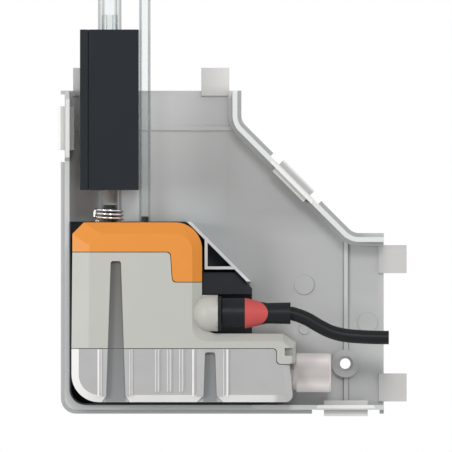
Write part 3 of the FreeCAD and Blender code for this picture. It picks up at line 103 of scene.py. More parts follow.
def changed(tree, operation, colour, **links):
    """Colour after a vector operation."""
    return add(tree, "ShaderNodeVectorMath", {"operation": operation}, i0=colour, **links).outputs[0]


def mixed(tree, share, first, second):
    """Colour between two colours, each a hex value or a socket."""
    pair = [linear(colour) if isinstance(colour, str) else colour for colour in (first, second)]
    return add(tree, "ShaderNodeMix", {"data_type": "RGBA"}, Factor=share, i6=pair[0], i7=pair[1]).outputs[2]


def between(tree, share, first, second):
    """Number between two numbers or sockets."""
    return add(tree, "ShaderNodeMix", {"data_type": "FLOAT"}, Factor=share, i2=first, i3=second).outputs[0]


def noise(tree, place, patch, detail):
    """Noise with patches so many millimetres wide."""
    return add(tree, "ShaderNodeTexNoise", Vector=place, Scale=1 / (patch * MM), Detail=detail).outputs["Fac"]


def relief(tree, shader, height, strength, depth):
    """Bumps the surface by a height, so many millimetres deep."""
    bump = add(tree, "ShaderNodeBump", Height=height, Strength=strength, Distance=depth * MM)
    feed(tree, shader, Normal=bump.outputs["Normal"])


def new_material(name):
    """Empty material with its tree, its main shader and the object's own coordinates."""
    material = bpy.data.materials.new(name)
    material.use_nodes = True
    tree = material.node_tree
    tree.nodes.clear()
    shader = add(tree, "ShaderNodeBsdfPrincipled")
    add(tree, "ShaderNodeOutputMaterial", Surface=shader.outputs["BSDF"])
    place = add(tree, "ShaderNodeTexCoord").outputs["Object"]
    return material, tree, shader, place


# Materials
DRIFT_DETAIL = 3.0
GRAIN_DETAIL = 2.0
RIPPLE_DETAIL = 1.0
GRAIN_STRENGTH = 0.35
MOULD_PATCH = 22.0
MOULD_GRAIN = 0.35
MOULD_DEPTH = 0.03
MOULD_SPREAD = 0.05
MOULD_IOR = 1.49
MOULD_SHINE = 0.3
METAL_PATCH = 6.0
METAL_DEPTH = 0.01
METAL_SPREAD = 0.4
RUBBER_PATCH = 9.0
RUBBER_GRAIN = 0.3
RUBBER_SPREAD = 0.06


def grained(tree, shader, place, colours, patch, grain, depth, rough, spread):
    """Moulded surface: slow colour drift, fine grain in the relief, uneven gloss."""
    drift = noise(tree, place, patch, DRIFT_DETAIL)
    relief(tree, shader, noise(tree, place, grain, GRAIN_DETAIL), GRAIN_STRENGTH, depth)
    gloss = ramp(tree, drift, low=rough - spread, high=rough + spread)
    feed(tree, shader, Base_Color=mixed(tree, drift, *colours), Roughness=gloss)


def moulded_plastic(name, colour, second, rough=0.42, depth=MOULD_DEPTH, shine=MOULD_SHINE):
    """Injection-moulded plastic: a satin skin with the fine grain of a spark-eroded mould."""
    material, tree, shader, place = new_material(name)
    grained(tree, shader, place, (colour, second), MOULD_PATCH, MOULD_GRAIN, depth, rough, MOULD_SPREAD)
    feed(tree, shader, IOR=MOULD_IOR, Specular_IOR_Level=shine)
    return material


# Painted highlights on the edges of milky plastic and edge tones of clear plastic, by how square the surface
# is seen, and where the dimmer painted highlight of the far edge starts
FACING_BLEND = 0.5
MILKY_PAINTED_HIGHLIGHT = (0.02, 0.22)
MILKY_FAR_HIGHLIGHT_ZONE = (57, 60)
MILKY_PATCH = 14.0
MILKY_TONES = (0.93, 1.05)
MILKY_RIPPLE = 2.5
MILKY_THROUGH = 0.12
TUBE_EDGE = (0.15, 0.5, 0.02, 0.42)
TUBE_RIPPLE = 3.0
TUBE_ROUGH = 0.08
TUBE_IOR = 1.45


def milky_plastic(name, colour, edge, far_painted_highlight=None, rough=0.22):
    """Translucent polypropylene: grey seen square on, with a painted highlight where its wall is seen edge
    on, dimmer past the far end when a far colour is given.
    """
    material, tree, shader, place = new_material(name)
    facing = add(tree, "ShaderNodeLayerWeight", Blend=FACING_BLEND).outputs["Facing"]
    across = add(tree, "ShaderNodeSeparateXYZ", Vector=place).outputs["X"]
    # Painted highlight colour, dimmer past the far end
    edges = mixed(tree, zone(tree, across, *MILKY_FAR_HIGHLIGHT_ZONE), edge, far_painted_highlight or edge)
    tint = mixed(tree, ramp(tree, facing, *MILKY_PAINTED_HIGHLIGHT), colour, edges)
    cloud = noise(tree, place, MILKY_PATCH, GRAIN_DETAIL)
    toned = changed(tree, "SCALE", tint, Scale=ramp(tree, cloud, 0.0, 1.0, *MILKY_TONES))
    relief(tree, shader, noise(tree, place, MILKY_RIPPLE, RIPPLE_DETAIL), strength=0.2, depth=0.05)
    feed(tree, shader, Base_Color=toned, Roughness=rough, IOR=MOULD_IOR, Transmission_Weight=MILKY_THROUGH)
    return material


def clear_tube(name, colour, edge, second):
    """Clear PVC tube: see-through in the middle and grey where the wall is seen edge on."""
    material, tree, shader, place = new_material(name)
    facing = add(tree, "ShaderNodeLayerWeight", Blend=FACING_BLEND).outputs["Facing"]
    ripple = noise(tree, place, TUBE_RIPPLE, RIPPLE_DETAIL)
    relief(tree, shader, ripple, strength=0.1, depth=0.02)
    feed(tree, shader, Base_Color=mixed(tree, ripple, edge, second), Roughness=TUBE_ROUGH, IOR=TUBE_IOR)
    through = add(tree, "ShaderNodeBsdfTransparent", Color=linear(colour)).outputs[0]
    share = ramp(tree, facing, *TUBE_EDGE)
    output = shader.outputs["BSDF"].links[0].to_node
    both = add(tree, "ShaderNodeMixShader", Fac=share, i1=through, i2=shader.outputs["BSDF"])
    feed(tree, output, Surface=both.outputs[0])
    return material


def metal(name, colour, second, rough, scratch):
    """Bare metal: bright, with fine drawing marks in its gloss."""
    material, tree, shader, place = new_material(name)
    spread = rough * METAL_SPREAD
    grained(tree, shader, place, (colour, second), METAL_PATCH, scratch, METAL_DEPTH, rough, spread)
    feed(tree, shader, Metallic=1.0)
    return material


def soft_rubber(name, colour, second, rough=0.55, shine=MOULD_SHINE):
    """Moulded elastomer: matt, with a fine nap."""
    material, tree, shader, place = new_material(name)
    colours = (colour, second)
    grained(tree, shader, place, colours, RUBBER_PATCH, RUBBER_GRAIN, MOULD_DEPTH, rough, RUBBER_SPREAD)
    feed(tree, shader, Specular_IOR_Level=shine)
    return material


def matt_mould(tree, shader, place, colour):
    """Matt moulded skin with an even gloss."""
    relief(tree, shader, noise(tree, place, MOULD_GRAIN, GRAIN_DETAIL), strength=0.3, depth=MOULD_DEPTH)
    feed(tree, shader, Base_Color=colour, Roughness=0.5)


# Zones of painted light and shade on the elbow's floor, and of a cool tint painted against the orange cap's
# bounce light: where each starts and ends, then its share or factor at both
ARM_PAINTED_LIGHT_ZONE = (40, 105)
TONGUE_PAINTED_LIGHT_ZONE = (106, 112)
TOP_ARM_PAINTED_LIGHT = (60, 100)
TOP_ARM = (40, 52)
PAINTED_LIGHT_BESIDE_PUMP = (-6, 4, 1.6, 1.3)
PAINTED_SHADE_TO_RIGHT_WALL = (10, 36, 1.0, 0.62)
PAINTED_LIGHT_UNDER_SLEEVE = (58, 68, 1.0, 1.42)
PAINTED_SHADE_PAST_SLEEVE = (74, 92, 1.0, 0.84)
SLEEVE_PAINTED_LIGHT_HEIGHT = (-4, 16, 1.0, 0.0)
PAINTED_ANTI_BOUNCE_HEIGHT = (46, 85, 1.0, 0.0)
PAINTED_ANTI_BOUNCE_WIDTH = (0, 40, 1.0, 0.0)
PAINTED_ANTI_BOUNCE_TINT = (0.9, 1.0, 1.04)
PALEST = (0.92, 0.92, 0.92)


def floor_with_painted_light_and_shade(name, inner, side_arm, top_arm, tongue, top_tongue):
    """Moulded floor of the elbow with painted light and shade: painted shade darkens its middle, painted
    light lightens its arms and tongues and the floor beside the pump and under the inlet sleeve, painted
    shade darkens it towards the right wall and past the sleeve, and a cool tint is painted against the orange
    cap's bounce light.
    """
    material, tree, shader, place = new_material(name)
    axes = add(tree, "ShaderNodeSeparateXYZ", Vector=place).outputs
    x, z = axes["X"], axes["Z"]
    # Painted shade in the middle and painted light on the arms, most on the top arm
    reach = combined(tree, "MAXIMUM", x, z)
    rise = zone(tree, z, *TOP_ARM_PAINTED_LIGHT)
    plain = mixed(tree, zone(tree, reach, *ARM_PAINTED_LIGHT_ZONE), inner, mixed(tree, rise, side_arm, top_arm))
    # Painted light beside the pump, painted shade towards the right wall, painted light under the inlet
    # sleeve and painted shade past it
    pump = combined(tree, "MULTIPLY", zone(tree, x, *PAINTED_LIGHT_BESIDE_PUMP), zone(tree, x, *PAINTED_SHADE_TO_RIGHT_WALL))
    sleeve = combined(tree, "MULTIPLY", zone(tree, x, *PAINTED_LIGHT_UNDER_SLEEVE), zone(tree, x, *PAINTED_SHADE_PAST_SLEEVE))
    low = between(tree, zone(tree, z, *SLEEVE_PAINTED_LIGHT_HEIGHT), 1.0, sleeve)
    toned = changed(tree, "SCALE", plain, Scale=between(tree, zone(tree, z, *TOP_ARM), low, pump))
    capped = changed(tree, "MINIMUM", toned, i1=PALEST)
    # Cool tint painted against the orange cap's bounce light
    anti_bounce_share = combined(tree, "MULTIPLY", zone(tree, z, *PAINTED_ANTI_BOUNCE_HEIGHT), zone(tree, x, *PAINTED_ANTI_BOUNCE_WIDTH))
    even = mixed(tree, anti_bounce_share, capped, changed(tree, "MULTIPLY", capped, i1=PAINTED_ANTI_BOUNCE_TINT))
    # Tongues lighter with painted light, the top ones most
    tip = mixed(tree, rise, tongue, top_tongue)
    matt_mould(tree, shader, place, mixed(tree, zone(tree, reach, *TONGUE_PAINTED_LIGHT_ZONE), even, tip))
    feed(tree, shader, Specular_IOR_Level=MOULD_SHINE)
    return material


# Zones of the elbow's wall: painted light on its inner side by x plus z, painted shade on its ledge by depth
# and by how square it faces
PAINTED_LIGHT_SIDE = (70, 125)
LEDGE_PAINTED_SHADE_DEPTH = (-13.0, -12.2)
LEDGE_PAINTED_SHADE_FACING = (-0.7, -0.95)
WALL_ROUGH = 0.45


def sided_wall(name, outer, inner, ledge):
    """Moulded side wall of the elbow: painted light on its inner side, painted shade on its ledge."""
    material, tree, shader, place = new_material(name)
    colours = (outer, inner)
    grained(tree, shader, place, colours, MOULD_PATCH, MOULD_GRAIN, MOULD_DEPTH, WALL_ROUGH, MOULD_SPREAD)
    axes = add(tree, "ShaderNodeSeparateXYZ", Vector=place).outputs
    # Painted light on the inner side and painted shade on the ledge
    total = combined(tree, "ADD", axes["X"], axes["Z"])
    painted_light_sides = mixed(tree, zone(tree, total, *PAINTED_LIGHT_SIDE), outer, inner)
    normal = add(tree, "ShaderNodeNewGeometry").outputs["True Normal"]
    facing = add(tree, "ShaderNodeSeparateXYZ", Vector=normal).outputs["Y"]
    step = combined(tree, "MULTIPLY", zone(tree, axes["Y"], *LEDGE_PAINTED_SHADE_DEPTH), ramp(tree, facing, *LEDGE_PAINTED_SHADE_FACING))
    feed(tree, shader, Base_Color=mixed(tree, step, painted_light_sides, ledge), Specular_IOR_Level=MOULD_SHINE)
    return material


CELL_SIZE = 1.1
CELL_DEPTH = 0.3
WIRE_PITCH = 0.6
WIRE_DEPTH = 0.2
WAVE_LENGTH = 0.314
WAVE_WANDER = 0.6


def cell_foam(name, colour, second):
    """Foam pad: matt, with open cells about a millimetre across."""
    material, tree, shader, place = new_material(name)
    cells = add(tree, "ShaderNodeTexVoronoi", Vector=place, Scale=1 / (CELL_SIZE * MM)).outputs["Distance"]
    relief(tree, shader, cells, strength=0.8, depth=CELL_DEPTH)
    feed(tree, shader, Base_Color=mixed(tree, cells, colour, second), Roughness=0.9)
    return material


def wound_wire(name, colour, second):
    """Enamelled copper winding: layers of wire 0.3 mm apart, drawn 0.6 mm so that they show."""
    material, tree, shader, place = new_material(name)
    settings = {"bands_direction": "Z"}
    scale = WAVE_LENGTH / (WIRE_PITCH * MM)
    wave = add(tree, "ShaderNodeTexWave", settings, Vector=place, Scale=scale, Distortion=WAVE_WANDER)
    bands = wave.outputs["Fac"]
    relief(tree, shader, bands, strength=0.7, depth=WIRE_DEPTH)
    feed(tree, shader, Base_Color=mixed(tree, bands, colour, second), Metallic=0.8, Roughness=0.3)
    return material


def recess_floor(name, dark, pale, low, high):
    """Floor of a moulded recess with painted shade, darker towards its narrow top end."""
    material, tree, shader, place = new_material(name)
    height = add(tree, "ShaderNodeSeparateXYZ", Vector=place).outputs["Z"]
    matt_mould(tree, shader, place, mixed(tree, zone(tree, height, low, high), pale, dark))
    return material


# Wall colours: outer, painted light on the inner side, painted shade on the ledge
WALL_GREY = sided_wall("abs_light_grey_wall_painted_light_and_shade", "C3C5C5", "D3D5D5", "B4B6B6")
# Floor colours: painted shade in the middle, painted light on the arms and tongues
BASE_FLOOR = floor_with_painted_light_and_shade("abs_light_grey_floor_painted_light_and_shade", "ACADAD", "AEAFAF", "C3C4C4", "C1C0BE", "D8D7D5")
BRACE_GREY = moulded_plastic("moulded_abs_light_grey_rib", "E0E6EA", "D8DEE2", 0.45)
# Painted highlight on the rib's crown and painted shadow at its feet
RIB_PAINTED_HIGHLIGHT = moulded_plastic("rib_crown_painted_highlight", "C2C3C3", "BCBDBD", 0.45)
RIB_PAINTED_SHADOW = moulded_plastic("rib_foot_painted_shadow", "8A8C8C", "838585", 0.5)
RIM_WHITE = moulded_plastic("moulded_acetal_white_rim", "E4E4E2", "DFDFDD", 0.35, 0.015)
SNAP_GREY = moulded_plastic("moulded_abs_snap_grey", "9FA09C", "979894", 0.5)
# Painted shade in the recesses
GROOVE_PAINTED_SHADE = recess_floor("recess_floor_painted_shade", "5C5A55", "7B7D7F", low=-36.8, high=29.4)
# Painted highlights on the reservoir's beads
BEAD_PAINTED_HIGHLIGHT = milky_plastic("milky_bead_painted_highlight", "EDEBEA", "F6F4F3")
BEAD_PAINTED_SOFT_HIGHLIGHT = milky_plastic("milky_bead_painted_soft_highlight", "D3D1D1", "DEDCDC")
PAD_MILKY = milky_plastic("moulded_pp_milky_pad", "B7B6B6", "D6D5D5")
SLOT_MATERIALS = {
    "base_grey": moulded_plastic("moulded_abs_light_grey", "C6C8C8", "BFC1C1", 0.45),
    "latch_white": milky_plastic("moulded_acetal_white", "CACAC8", "F8F8F6"),
    "tray_black": moulded_plastic("moulded_pp_black", "32363B", "2B2F34", 0.45, shine=0.15),
    "cap_orange": moulded_plastic("moulded_abs_orange", "D78834", "D38430", 0.38),
    "cover_grey": moulded_plastic("moulded_abs_warm_grey", "B3B3AD", "AEAEA8", 0.4),
    # The milky parts' edge colours are painted highlights; the reservoir's far right edge gets a dimmer one
    "tank_clear": milky_plastic("moulded_pp_milky", "B0B0B0", "F3F1F0", "CBC9C8"),
    "sleeve_rubber": milky_plastic("moulded_silicone_milky", "BCB6B4", "F0EAE8", rough=0.6),
    "seal_rubber": soft_rubber("moulded_nbr_black", "1B1C1D", "141516"),
    "pump_black": moulded_plastic("moulded_abs_charcoal", "1F2429", "1B2025", 0.5, shine=0.12),
    "tube_clear": clear_tube("extruded_pvc_clear", "FDFEFE", "8E9293", "9EA2A3"),
    "clamp_steel": metal("polished_spring_steel", "EEEEF0", "D6D6D9", 0.2, 0.5),
    "fitting_black": moulded_plastic("moulded_nylon_black", "1A1D1F", "141618", 0.4, shine=0.15),
    "plug_black": soft_rubber("moulded_pvc_black", "1A1E21", "14171A", 0.42, 0.15),
    "grip_red": soft_rubber("moulded_tpe_red", "C14F4D", "B84947", 0.45),
    "cable_black": soft_rubber("extruded_pvc_black", "1A1D1F", "131516", 0.4, 0.15),
    "pin_brass": metal("turned_brass", "D9B86A", "C6A557", 0.25, 0.3),
    "coil_copper": wound_wire("enamelled_copper_winding", "7A3A1C", "C77A45"),
    "bobbin_white": moulded_plastic("moulded_nylon_white", "E1DFD8", "D8D6CF"),
    "steel_plain": metal("zinc_plated_steel", "B4B6B8", "9EA0A3", 0.32, 0.6),
    "spring_steel": metal("drawn_spring_wire", "B9BBBD", "A2A4A6", 0.25, 0.2),
    "magnet_dark": metal("sintered_ferrite", "3B3B3D", "2F2F31", 0.5, 0.3),
    "float_cream": cell_foam("closed_cell_foam_cream", "D2CDBE", "E4DFD2"),
    "board_green": moulded_plastic("solder_mask_green", "1E6A3C", "1A5D35", 0.25, 0.01),
    "foam_grey": cell_foam("open_cell_foam_grey", "2B2B2D", "4A4A4C"),
}
NODE_MATERIALS = {
    "elbow_base": BASE_FLOOR,
    "elbow_walls": WALL_GREY,
    "elbow_brace": BRACE_GREY,
    "pump_side_lid": moulded_plastic("moulded_abs_charcoal_lid", "20262A", "1D2226", 0.5, shine=0.12),
    "inlet_body": moulded_plastic("moulded_nylon_grey_brown", "8C837C", "847B75", 0.4, shine=0.2),
    "outlet_body": clear_tube("moulded_nylon_clear", "FBFCFC", "B4B7B8", "C3C6C7"),
}


def material_of(node):
    return NODE_MATERIALS.get(node) or SLOT_MATERIALS[NODE_SLOTS[node]]


# Pieces
def object_from(name, data):
    piece = bpy.data.objects.new(name, data)
    bpy.context.scene.collection.objects.link(piece)
    return piece


def object_of_work(name, work):
    """Object from an edit mesh, which is freed."""
    mesh = bpy.data.meshes.new(name)
    work.to_mesh(mesh)
    work.free()
    return object_from(name, mesh)


def applied(piece):
    """Turns live modifiers or a curve into a plain mesh."""
    graph = bpy.context.evaluated_depsgraph_get()
    mesh = bpy.data.meshes.new_from_object(piece.evaluated_get(graph))
    name = piece.name
    bpy.data.objects.remove(piece)
    return object_from(name, mesh)


def shade(piece, angle):
    """Smooth shading that keeps edges sharper than the angle, in degrees."""
    mesh = piece.data
    mesh.polygons.foreach_set("use_smooth", [True] * len(mesh.polygons))
    work = bmesh.new()
    work.from_mesh(mesh)
    for edge in work.edges:
        edge.smooth = len(edge.link_faces) == 2 and edge.calc_face_angle(0.0) < math.radians(angle)
    work.to_mesh(mesh)
    work.free()
    return piece


def finish_piece(piece, body, slot, material=None):
    """Sets a new piece's material, which is the slot's own if none is given, and its body."""
    piece.data.materials.clear()
    piece.data.materials.append(material or SLOT_MATERIALS[slot])
    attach(piece, body)
    return piece


def plate(name, points, near, far, body, slot, material=None):
    """Flat piece between two depths with its outline given as (x, z) points."""
    work = bmesh.new()
    back = [work.verts.new(at(x, near, z)) for x, z in points]
    front = [work.verts.new(at(x, far, z)) for x, z in points]
    work.faces.new(back)
    work.faces.new(front[::-1])
    for place in range(len(points)):
        follow = (place + 1) % len(points)
        work.faces.new((back[follow], back[place], front[place], front[follow]))
    bmesh.ops.recalc_face_normals(work, faces=work.faces)
    return finish_piece(object_of_work(name, work), body, slot, material)


def block(left, right, low, high):
    """Outline of a rectangle."""
    return [(left, low), (right, low), (right, high), (left, high)]


TURN_STEPS = 48
TURN_SHARP_ANGLE = 40


def turned(name, profile, axis_depth, axis_z, body, slot):
    """Ring turned about a line along X, from a closed profile of (x, radius) points."""
    work = bmesh.new()
    rings = []
    for step in range(TURN_STEPS):
        turn = 2 * math.pi * step / TURN_STEPS
        rings.append([
            work.verts.new(at(x, axis_depth + radius * math.sin(turn), axis_z + radius * math.cos(turn)))
            for x, radius in profile
        ])
    for here, after in zip(rings, rings[1:] + rings[:1]):
        for place in range(len(profile)):
            follow = (place + 1) % len(profile)
            work.faces.new((here[place], here[follow], after[follow], after[place]))
    bmesh.ops.recalc_face_normals(work, faces=work.faces)
    return finish_piece(shade(object_of_work(name, work), TURN_SHARP_ANGLE), body, slot)


def route_curve(name, points, radius, bevel_steps, steps=12):
    """Smooth round cord along the route, as one open NURBS spline."""
    curve = bpy.data.curves.new(name, "CURVE")
    curve.dimensions = "3D"
    curve.bevel_depth = radius * MM
    curve.bevel_resolution = bevel_steps
    curve.use_fill_caps = True
    spline = curve.splines.new("NURBS")
    spline.points.add(len(points) - 1)
    for point, place in zip(spline.points, points):
        point.co = (place.x, place.y, place.z, 1.0)
    spline.order_u = 3
    spline.use_endpoint_u = True
    spline.resolution_u = steps
    return object_from(name, curve)


# Camera: the photograph's size and scale, and the point in its middle
PHOTO_SIZE = 452
MM_PER_PIXEL = 0.47
VIEW_CENTRE_X = 35.25
VIEW_CENTRE_Z = 45.8
VIEW_DEPTH = 20.0
LENS = 1500.0
SENSOR = 36.0
CLIP_NEAR = 0.05
CLIP_FAR = 50.0
camera_data = bpy.data.cameras.new("camera")
camera_data.lens = LENS
camera_data.sensor_width = SENSOR
camera_data.clip_start = CLIP_NEAR
camera_data.clip_end = CLIP_FAR
camera = object_from("camera", camera_data)
distance = PHOTO_SIZE * MM_PER_PIXEL * LENS / SENSOR
camera.location = at(VIEW_CENTRE_X, VIEW_DEPTH + distance, VIEW_CENTRE_Z)
camera.rotation_euler = (math.radians(90), 0, 0)
bpy.context.scene.camera = camera

# Cable
CABLE_RADIUS = 3.2
CABLE_DEPTH = 41.0
CABLE_ROUTE = (
    (65.5, 4.9),
    (67.9, 4.4),
    (73.4, 2.3),
    (78.6, -1.0),
    (84.5, -4.0),
    (91.0, -5.6),
    (98.9, -6.2),
    (107.1, -6.5),
    (111.6, -6.5),
)
cable_points = [at(x, CABLE_DEPTH, z) for x, z in CABLE_ROUTE]
cable = route_curve("lead_sheath", cable_points, CABLE_RADIUS, bevel_steps=8)
finish_piece(cable, PLUG, "cable_black")
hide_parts("power_cable")

# Wire clamp on the suction tube: three turns, and the end that is pinched to open it
CLAMP_X = -19.35
CLAMP_DEPTH = 27.0
CLAMP_RADIUS = 6.25
CLAMP_WIRE = 0.6
CLAMP_HEAD = 53.6
CLAMP_PITCH = 1.78
CLAMP_TURNS = 3
CLAMP_STEPS = 24
CLAMP_SHARP_ANGLE = 50
CLAMP_TAIL = ((-26.4, 27.6, 50.2), (-26.4, 27.6, 52.6), (-26.2, 27.3, 53.5))


def clamp_route():
    """Wire from its pinched end at the left, round the tube and down to its foot."""
    route = [at(*place) for place in CLAMP_TAIL]
    for step in range(CLAMP_TURNS * CLAMP_STEPS + 1):
        turn = 2 * math.pi * step / CLAMP_STEPS
        x = CLAMP_X - CLAMP_RADIUS * math.cos(turn)
        depth = CLAMP_DEPTH + CLAMP_RADIUS * math.sin(turn)
        route.append(at(x, depth, CLAMP_HEAD - CLAMP_PITCH * step / CLAMP_STEPS))
    return route


clamp_curve = route_curve("suction_clamp_wire", clamp_route(), CLAMP_WIRE, bevel_steps=3, steps=3)
clamp = shade(applied(clamp_curve), CLAMP_SHARP_ANGLE)
finish_piece(clamp, body_of("suction_clamp"), "clamp_steel")
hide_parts("suction_clamp")

for cad_name, cad_node in frame["nodes"].items():
    cad_node.data.materials.clear()
    cad_node.data.materials.append(material_of(cad_name))

# Discs and ring of the elbow's floor: centre and radius in CAD, and the shift that seats each one
FLOOR_DEPTH = 2.0
MARK_DEPTH = 2.75
SKIN_DEPTH = 0.01
RAISED_DEPTH = 0.1
FLOOR_MARKS = (
    ((74.3, 17.2), 4.7, (-2.2, 0.9)),
    ((102.0, 0.3), 4.7, (0.0, 0.0)),
    ((72.2, -2.4), 2.9, (0.1, 0.0)),
)


def seat_marks(work):
    """Sets the floor's discs and ring in place and gives them a clear edge."""
    for (x, z), radius, (shift_x, shift_z) in FLOOR_MARKS:
        for vert in work.verts:
            depth = -vert.co.y / MM
            reach = math.hypot(vert.co.x / MM - x, vert.co.z / MM - z)
            if reach < radius and depth > FLOOR_DEPTH - SKIN_DEPTH:
                vert.co.x += shift_x * MM
                vert.co.z += shift_z * MM
                if depth > FLOOR_DEPTH + RAISED_DEPTH:
                    vert.co.y = -MARK_DEPTH * MM


# Copies of the moulded pieces with rounded edges: the width of each one's rounding
SOFT_EDGES = {
    "elbow_base": 0.2,
    "elbow_walls": 0.25,
    "elbow_brace": 0.15,
    "cradle_tray": 0.15,
    "unit_cap": 0.35,
    "unit_cover": 0.35,
    "reservoir_tank": 0.3,
    "inlet_sleeve": 0.15,
    "pump_shell": 0.15,
    "pump_side_lid": 0.15,
    "suction_port": 0.15,
    "vent_spigot": 0.12,
    "socket_housing": 0.3,
    "plug_body": 0.3,
    "plug_grip": 0.3,
    "cover_latch_left": 0.2,
    "cover_latch_diagonal": 0.2,
    "cover_latch_bottom": 0.2,
}
MERGE_REACH = 0.001
FLAT_ANGLE = 0.5
BEVEL_STEPS = 2
BEVEL_ANGLE = 40
SOFT_SHARP_ANGLE = 12


def softened(node, width):
    """Copy of a node with merged points and rounded edges, which stands for the node."""
    work = bmesh.new()
    work.from_mesh(frame["nodes"][node].data)
    bmesh.ops.remove_doubles(work, verts=work.verts, dist=MERGE_REACH * MM)
    bmesh.ops.dissolve_limit(work, angle_limit=math.radians(FLAT_ANGLE), verts=work.verts, edges=work.edges)
    if node == "elbow_base":
        seat_marks(work)
    piece = object_of_work(node + "_softened", work)
    bevel = piece.modifiers.new("edges", "BEVEL")
    bevel.width = width * MM
    bevel.segments = BEVEL_STEPS
    bevel.limit_method = "ANGLE"
    bevel.angle_limit = math.radians(BEVEL_ANGLE)
    bevel.use_clamp_overlap = True
    piece = shade(applied(piece), SOFT_SHARP_ANGLE)
    finish_piece(piece, body_of(node), NODE_SLOTS[node], material_of(node))
    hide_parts(node)


for soft_node, soft_width in SOFT_EDGES.items():
    softened(soft_node, soft_width)

# Floors of the tapered recesses, dark with painted shade, which share their middle and top between cover and
# reservoir
LEFT_GROOVE = (-16.4, 29.4)
RIGHT_GROOVE = (27.8, -13.4)
GROOVE_DEPTH = 41.0
GROOVE_SKIN = 0.1
GROOVE_TOP_HALF = 2.4
GROOVE_SPREAD = 0.034
GROOVE_FLOORS = (
    ("cover_groove_floor", LEFT_GROOVE, -11.4, 29.3, "cover_grey"),
    ("tank_left_groove_floor", LEFT_GROOVE, -36.6, -11.9, "tank_clear"),
    ("tank_right_groove_floor", RIGHT_GROOVE, -36.6, -13.5, "tank_clear"),
)


def groove_half(z, top):
    """Half of a recess's width at a height."""
    return GROOVE_TOP_HALF + (top - z) * GROOVE_SPREAD


for name, (middle, top), low, high, slot in GROOVE_FLOORS:
    wide = groove_half(low, top)
    narrow = groove_half(high, top)
    outline = [(middle - wide, low), (middle + wide, low), (middle + narrow, high), (middle - narrow, high)]
    front = GROOVE_DEPTH + GROOVE_SKIN
    plate(name, outline, GROOVE_DEPTH + SKIN_DEPTH, front, UNIT, slot, GROOVE_PAINTED_SHADE)

# Beads on the reservoir's front: the moulded edges of the pads beside the recesses, and of the three ribs,
# coloured near white as painted highlights
SUNK = 0.02
UNIT_FRONT = 44.0
RIB_FRONT = 44.5
BEAD_HIGH = 0.22
BEAD_STEPS = 6
BEAD_SHARP_ANGLE = 50
SPLIT_FOOT = -12.0
RIB_FOOT = -31.9
PAD_FOOT = -34.0
BRIGHT_BEADS = ((-24.5, 0.85), (19.9, 0.85), (35.9, 0.85))
PALE_BEADS = ((-23.2, 0.55), (-9.85, 0.5), (-8.75, 0.45))
LAST_BEAD = (34.2, 0.5)
RIB_MIDDLES = (2.8, 8.4, 14.1)
RIB_BEAD_WIDTH = 0.5
RIB_BEADS = ((-0.55, UNIT_FRONT), (0.8, RIB_FRONT))


def bead(work, middle, width, low, front):
    """Upright bead with a rounded crown, from its foot to the seam under the cover."""
    rows = []
    for z in (low, SPLIT_FOOT):
        row = []
        for step in range(BEAD_STEPS + 1):
            turn = math.pi * step / BEAD_STEPS
            x = middle - width / 2 * math.cos(turn)
            row.append(work.verts.new(at(x, front - SUNK + BEAD_HIGH * math.sin(turn), z)))
        rows.append(row)
    foot, head = rows
    for left, right in zip(range(BEAD_STEPS), range(1, BEAD_STEPS + 1)):
        work.faces.new((foot[left], foot[right], head[right], head[left]))
    work.faces.new(foot[::-1])
    work.faces.new(head)
    work.faces.new((foot[0], head[0], head[-1], foot[-1]))


def beads(name, places, material):
    """One object with a bead for each (middle, width, foot, front)."""
    work = bmesh.new()
    for place in places:
        bead(work, *place)
    bmesh.ops.recalc_face_normals(work, faces=work.faces)
    finish_piece(shade(object_of_work(name, work), BEAD_SHARP_ANGLE), UNIT, "tank_clear", material)


beads("tank_pad_edges_bright", [(*place, PAD_FOOT, RIB_FRONT) for place in BRIGHT_BEADS], BEAD_PAINTED_HIGHLIGHT)
beads("tank_pad_edges_pale", [
    *((*place, PAD_FOOT, RIB_FRONT) for place in PALE_BEADS),
    (*LAST_BEAD, PAD_FOOT, UNIT_FRONT),
], BEAD_PAINTED_SOFT_HIGHLIGHT)
beads("tank_rib_edges", [
    (middle + shift, RIB_BEAD_WIDTH, RIB_FOOT, front)
    for middle in RIB_MIDDLES
    for shift, front in RIB_BEADS
], BEAD_PAINTED_SOFT_HIGHLIGHT)

# Pads between a bead and the slanted side of a recess: outer edge, recess, and the side of it
PAD_SKIN = 0.06
PAD_GAP = 0.1
PAD_LOW = -34.1
PADS = (
    ("tank_pad_far_left", -22.9, LEFT_GROOVE, -1),
    ("tank_pad_near_left", -10.2, LEFT_GROOVE, 1),
    ("tank_pad_near_right", 21.1, RIGHT_GROOVE, -1),
    ("tank_pad_far_right", 33.8, RIGHT_GROOVE, 1),
)
for name, edge, (middle, top), side in PADS:
    foot = middle + side * (groove_half(PAD_LOW, top) + PAD_GAP)
    head = middle + side * (groove_half(SPLIT_FOOT, top) + PAD_GAP)
    outline = [(edge, PAD_LOW), (foot, PAD_LOW), (head, SPLIT_FOOT), (edge, SPLIT_FOOT)]
    if side > 0:
        outline.reverse()
    plate(name, outline, UNIT_FRONT - SUNK, UNIT_FRONT + PAD_SKIN, UNIT, "tank_clear", PAD_MILKY)

# Seal in the seam between the pump's shell and its side lid
LID_SEAL = block(-29.24, -28.96, 63.0, 137.75)
LID_SEAL_BACK = 30.0
LID_SEAL_FRONT = 45.3
plate("pump_lid_seal", LID_SEAL, LID_SEAL_BACK, LID_SEAL_FRONT, body_of("pump_shell"), "seal_rubber")

